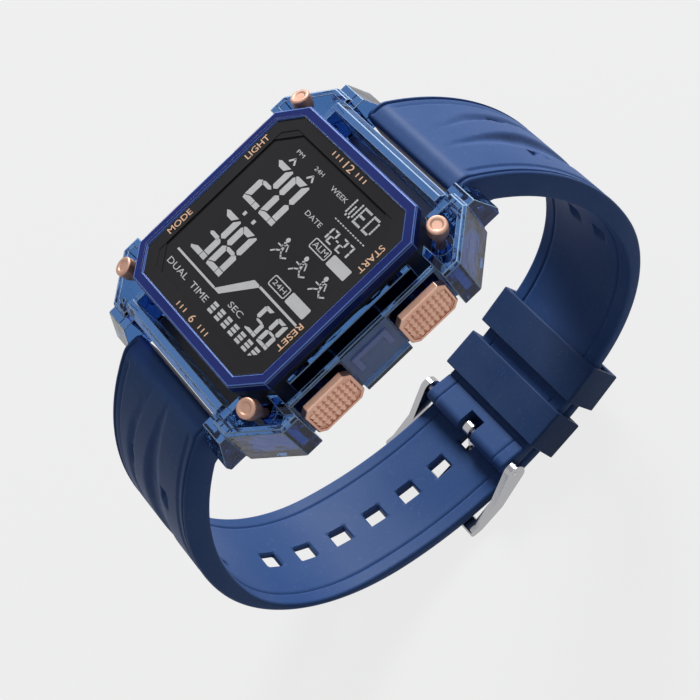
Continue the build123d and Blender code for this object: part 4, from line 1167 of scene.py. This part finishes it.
def grip_field(sizes):
    """Rows of small pyramids without the four at the corners, pointing along +X."""
    bm = bmesh.new()
    bmesh.ops.create_grid(bm, x_segments=sizes.columns, y_segments=sizes.rows, size=0.5)
    counts = (sizes.columns, sizes.rows)
    corners = [face for face in bm.faces if all(
        abs(place) > 0.5 - 0.6 / count for place, count in zip(face.calc_center_median(), counts))]
    bmesh.ops.delete(bm, geom=corners, context="FACES")
    bmesh.ops.scale(bm, vec=(*mm(*GRIP_SIZE), 1.0), verts=bm.verts[:])
    tops = only(bmesh.types.BMFace, raise_flat(bm, GRIP_BASE))
    bmesh.ops.poke(bm, faces=tops, offset=sizes.height)
    outwards = Matrix(((0, 0, 1), (1, 0, 0), (0, 1, 0))).to_4x4()
    bmesh.ops.transform(bm, matrix=outwards, verts=bm.verts[:])
    return bm


class WATCH_OT_pushers(bpy.types.Operator):
    """Four rose-gold pushers with a grip field of small pyramids"""
    bl_idname = "watch.pushers"
    bl_label = "Pushers"

    def execute(self, context):
        metal = satin_metal("rose gold pushers", shade("rose"), 0.33)
        for name, side in PUSHER_SIDES.items():
            dressed(name + "_button", metal, settings("case").metal_edge)
            bm = grip_field(settings("pushers"))
            if side < 0:
                bmesh.ops.rotate(bm, matrix=Matrix.Rotation(pi, 3, "Z"), verts=bm.verts[:])
            low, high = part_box(name + "_button")
            place = (low + high) / 2
            place.x = (high.x if side > 0 else low.x) - side * GRIP_SUNK * MM
            bmesh.ops.translate(bm, vec=place, verts=bm.verts[:])
            add_piece(bm, name + "_grip", name + "_pusher", metal, 0.3)
        return {"FINISHED"}


class WATCH_OT_legends(bpy.types.Operator):
    """Function words and plain numerals printed on the underside of the glass"""
    bl_idname = "watch.legends"
    bl_label = "Printed legends"

    def execute(self, context):
        ink = settings("dial").ink / MM
        bm = bmesh.new()
        flat_band(bm, octagon_loop(bm, PRINT_OUTSIDE), octagon_loop(bm, PRINT_INSIDE))
        raise_flat(bm, ink, PRINT_HEIGHT)
        add_piece(bm, "dark_band", "watch", display_film("dark band print"))
        bm = bmesh.new()
        for text, x_range, y_range, turn in (
                ("LIGHT", (-16.85, -15.65), (6.45, 11.35), 1), ("MODE", (-16.85, -15.65), (-10.3, -5.4), 1),
                ("START", (15.1, 16.3), (6.3, 11.5), -1), ("RESET", (15.1, 16.3), (-10.1, -5.0), -1),
                ("12", (-1.0, 1.0), (15.75, 17.1), 0), ("6", (-0.5, 0.5), (-17.1, -15.75), 0)):
            word(bm, text, x_range, y_range, turn, SIDE_WORD_WEIGHT * abs(turn))
        for y_range in ((-16.85, -16.05), (16.05, 16.85)):
            for x in (-2.2, 2.2, -3.2, 3.2, -4.2, 4.2):
                rectangle(bm, (x - TICK_HALF, x + TICK_HALF), y_range)
        raise_flat(bm, ink, PRINT_HEIGHT + ink + PRINT_GAP)
        gold = light_ink("legend print", shade("legend"), 0.4)
        add_piece(bm, "legends", "watch", gold)
        return {"FINISHED"}


def draw_figures(bm):
    """Hours, minutes, date and seconds."""
    for wide, high, figures in (
            (169, 333, (("2", 282, 688), ("0", 474, 688), ("3", 280, 1131), ("8", 474, 1131))),
            (52, 95, (("1", 971, 517), ("2", 1033, 517), ("2", 1133, 517), ("7", 1198, 517))),
            (113, 192, (("5", 1083, 1220), ("8", 1220, 1220)))):
        for sign, left, foot in figures:
            figure(bm, sign, dial(left, foot), wide / DIAL_UNITS * DIAL_SCALE, high / DIAL_UNITS)


def draw_dots_and_lines(bm):
    """Colon, the date's dash, the line below the hours, and the rows of short bars."""
    for left, right in ((395, 421), (500, 528)):
        box(bm, left, right, 733, 762)
    box(bm, 1095, 1120, 465, 475)
    box(bm, 222, 680, 1187, 1202)
    slope = ((675, 1200), (742, 1200), (938, 995), (925, 983), (868, 983), (690, 1187))
    flat_shape(bm, [dial(*place) for place in slope])
    box(bm, 938, 1363, 981, 997)
    for dash in range(12):
        box(bm, 957 + dash * 27.75, 974 + dash * 27.75, 374, 382)
    for left in (770, 853, 935, 1017, 1098, 1180, 1262):
        for top, foot in ((1242, 1262), (1269, 1288), (1296, 1316)):
            box(bm, left, left + 51, top, foot)
    for apex in (375, 585):
        stroke(bm, [dial(apex - 28, 325), dial(apex, 292), dial(apex + 28, 325)], 0.35)


def draw_words(bm):
    for text, left, right, top, foot in (
            ("PM", 335, 412, 232, 258), ("24H", 545, 640, 230, 258), ("WEEK", 757, 930, 245, 278),
            ("DATE", 757, 928, 457, 490), ("ALM", 985, 1128, 552, 590), ("24H", 982, 1115, 886, 918),
            ("SEC", 863, 1010, 1168, 1208), ("DUAL", 233, 465, 1257, 1300), ("TIME", 520, 715, 1257, 1300)):
        word(bm, text, *dial_ranges(left, right, top, foot))


def draw_weekday(bm):
    """Three letters in a matrix of 5 by 7 small boxes."""
    top, foot, gap = 203, 328, 1.2
    for sign, left, right in (("W", 971, 1052), ("E", 1068, 1150), ("D", 1168, 1250)):
        across, down = (right - left) / 5, (foot - top) / 7
        for row, bits in enumerate(MATRIX[sign]):
            for column, bit in enumerate(bits):
                if bit == "1":
                    x, y = left + column * across, top + row * down
                    box(bm, x + gap, x + across - gap, y + gap, y + down - gap)


def draw_modes(bm):
    """Boxes that mark a mode, two outlined and two filled, and the three runners."""
    corner, line, filled_corner = 0.4, 0.2, 0.3
    for ranges in (dial_ranges(967, 1147, 535, 612), dial_ranges(957, 1140, 863, 942)):
        flat_band(bm, rounded(bm, *ranges, corner), rounded(bm, *ranges, corner, line))
    for ranges in (dial_ranges(1167, 1365, 534, 613), dial_ranges(1157, 1360, 863, 942)):
        bm.faces.new(rounded(bm, *ranges, filled_corner))
    for left in (820, 1033, 1257):
        runner(bm, *dial(left, 760))


class WATCH_OT_display(bpy.types.Operator):
    """Pale figures, words and boxes of the display"""
    bl_idname = "watch.display"
    bl_label = "Display"

    def execute(self, context):
        bm = bmesh.new()
        draw_figures(bm)
        draw_dots_and_lines(bm)
        draw_words(bm)
        draw_weekday(bm)
        draw_modes(bm)
        raise_flat(bm, settings("dial").segment / MM, DISPLAY_HEIGHT)
        pale = light_ink("display segments", shade("segment"))
        add_piece(bm, "display_segments", "watch", pale)
        return {"FINISHED"}


class WATCH_OT_inner_parts(bpy.types.Operator):
    """Finishes for the module, the cell, the seals, the springs and the other small parts"""
    bl_idname = "watch.inner_parts"
    bl_label = "Inner parts"

    def execute(self, context):
        steel = polished_steel("small steel", (0.62, 0.62, 0.64), 0.22)
        brass = satin_metal("contact brass", tint(214, 176, 92), 0.24)
        black_rubber = silicone("seal rubber", tint(26, 26, 28))
        finishes = {
            "front_mask": display_film("mask print"),
            "lcd_panel": display_film("display film"),
            "backlight": moulded("frosted light plate", tint(224, 228, 230), 0.5),
            "connector_strips": banded_rubber("connector rubber"),
            "module_frame": moulded("module plastic", tint(222, 222, 216), 0.5),
            "circuit_board": enamel("board lacquer", tint(22, 96, 54), 0.4, 0.5),
            "display_chip": enamel("chip resin", tint(20, 20, 22)),
            "lamp": moulded("lamp body", tint(230, 230, 220), 0.25),
            "back_gasket": black_rubber,
            "buzzer_disc": brass, "battery_contact": brass, "button_contacts": brass,
        }
        for node in ("quartz_crystal", "battery", "battery_clip", "buzzer_spring", "button_springs",
                     "spring_bar_12", "spring_bar_6"):
            finishes[node] = steel
        for name in PUSHER_SIDES:
            finishes[name + "_button_seal"] = black_rubber
            finishes[name + "_button_clip"] = steel
        for node, material in finishes.items():
            for slot in frame["nodes"][node].material_slots:
                slot.material = material
        return {"FINISHED"}


STEPS = (WATCH_OT_stage, WATCH_OT_strap, WATCH_OT_keepers, WATCH_OT_buckle, WATCH_OT_case, WATCH_OT_bezel,
         WATCH_OT_side_plates, WATCH_OT_pushers, WATCH_OT_legends, WATCH_OT_display, WATCH_OT_inner_parts)
GROUPS = {"strap": StrapSizes, "case": CaseSizes, "pushers": PusherSizes, "dial": DialSizes,
          "colours": WatchColours}


class WATCH_PT_dressing(bpy.types.Panel):
    """Sizes, colours and steps of the watch's dressing"""
    bl_label = "Watch dressing"
    bl_space_type = "VIEW_3D"
    bl_region_type = "UI"
    bl_category = "Watch"

    def draw(self, context):
        for group, kind in GROUPS.items():
            box_layout = self.layout.box()
            for name in kind.__annotations__:
                box_layout.prop(getattr(context.scene, "watch_" + group), name)
        for step in STEPS:
            self.layout.operator(step.bl_idname)


def register():
    for kind in (*GROUPS.values(), *STEPS, WATCH_PT_dressing):
        bpy.utils.register_class(kind)
    for group, kind in GROUPS.items():
        setattr(bpy.types.Scene, "watch_" + group, PointerProperty(type=kind))


def unregister():
    for group in GROUPS:
        delattr(bpy.types.Scene, "watch_" + group)
    for kind in reversed((*GROUPS.values(), *STEPS, WATCH_PT_dressing)):
        bpy.utils.unregister_class(kind)


def main():
    register()
    bpy.ops.watch.stage()
    bpy.ops.watch.strap()
    bpy.ops.watch.keepers()
    bpy.ops.watch.buckle()
    bpy.ops.watch.case()
    bpy.ops.watch.bezel()
    bpy.ops.watch.side_plates()
    bpy.ops.watch.pushers()
    bpy.ops.watch.legends()
    bpy.ops.watch.display()
    bpy.ops.watch.inner_parts()


if __name__ == "__main__":
    main()
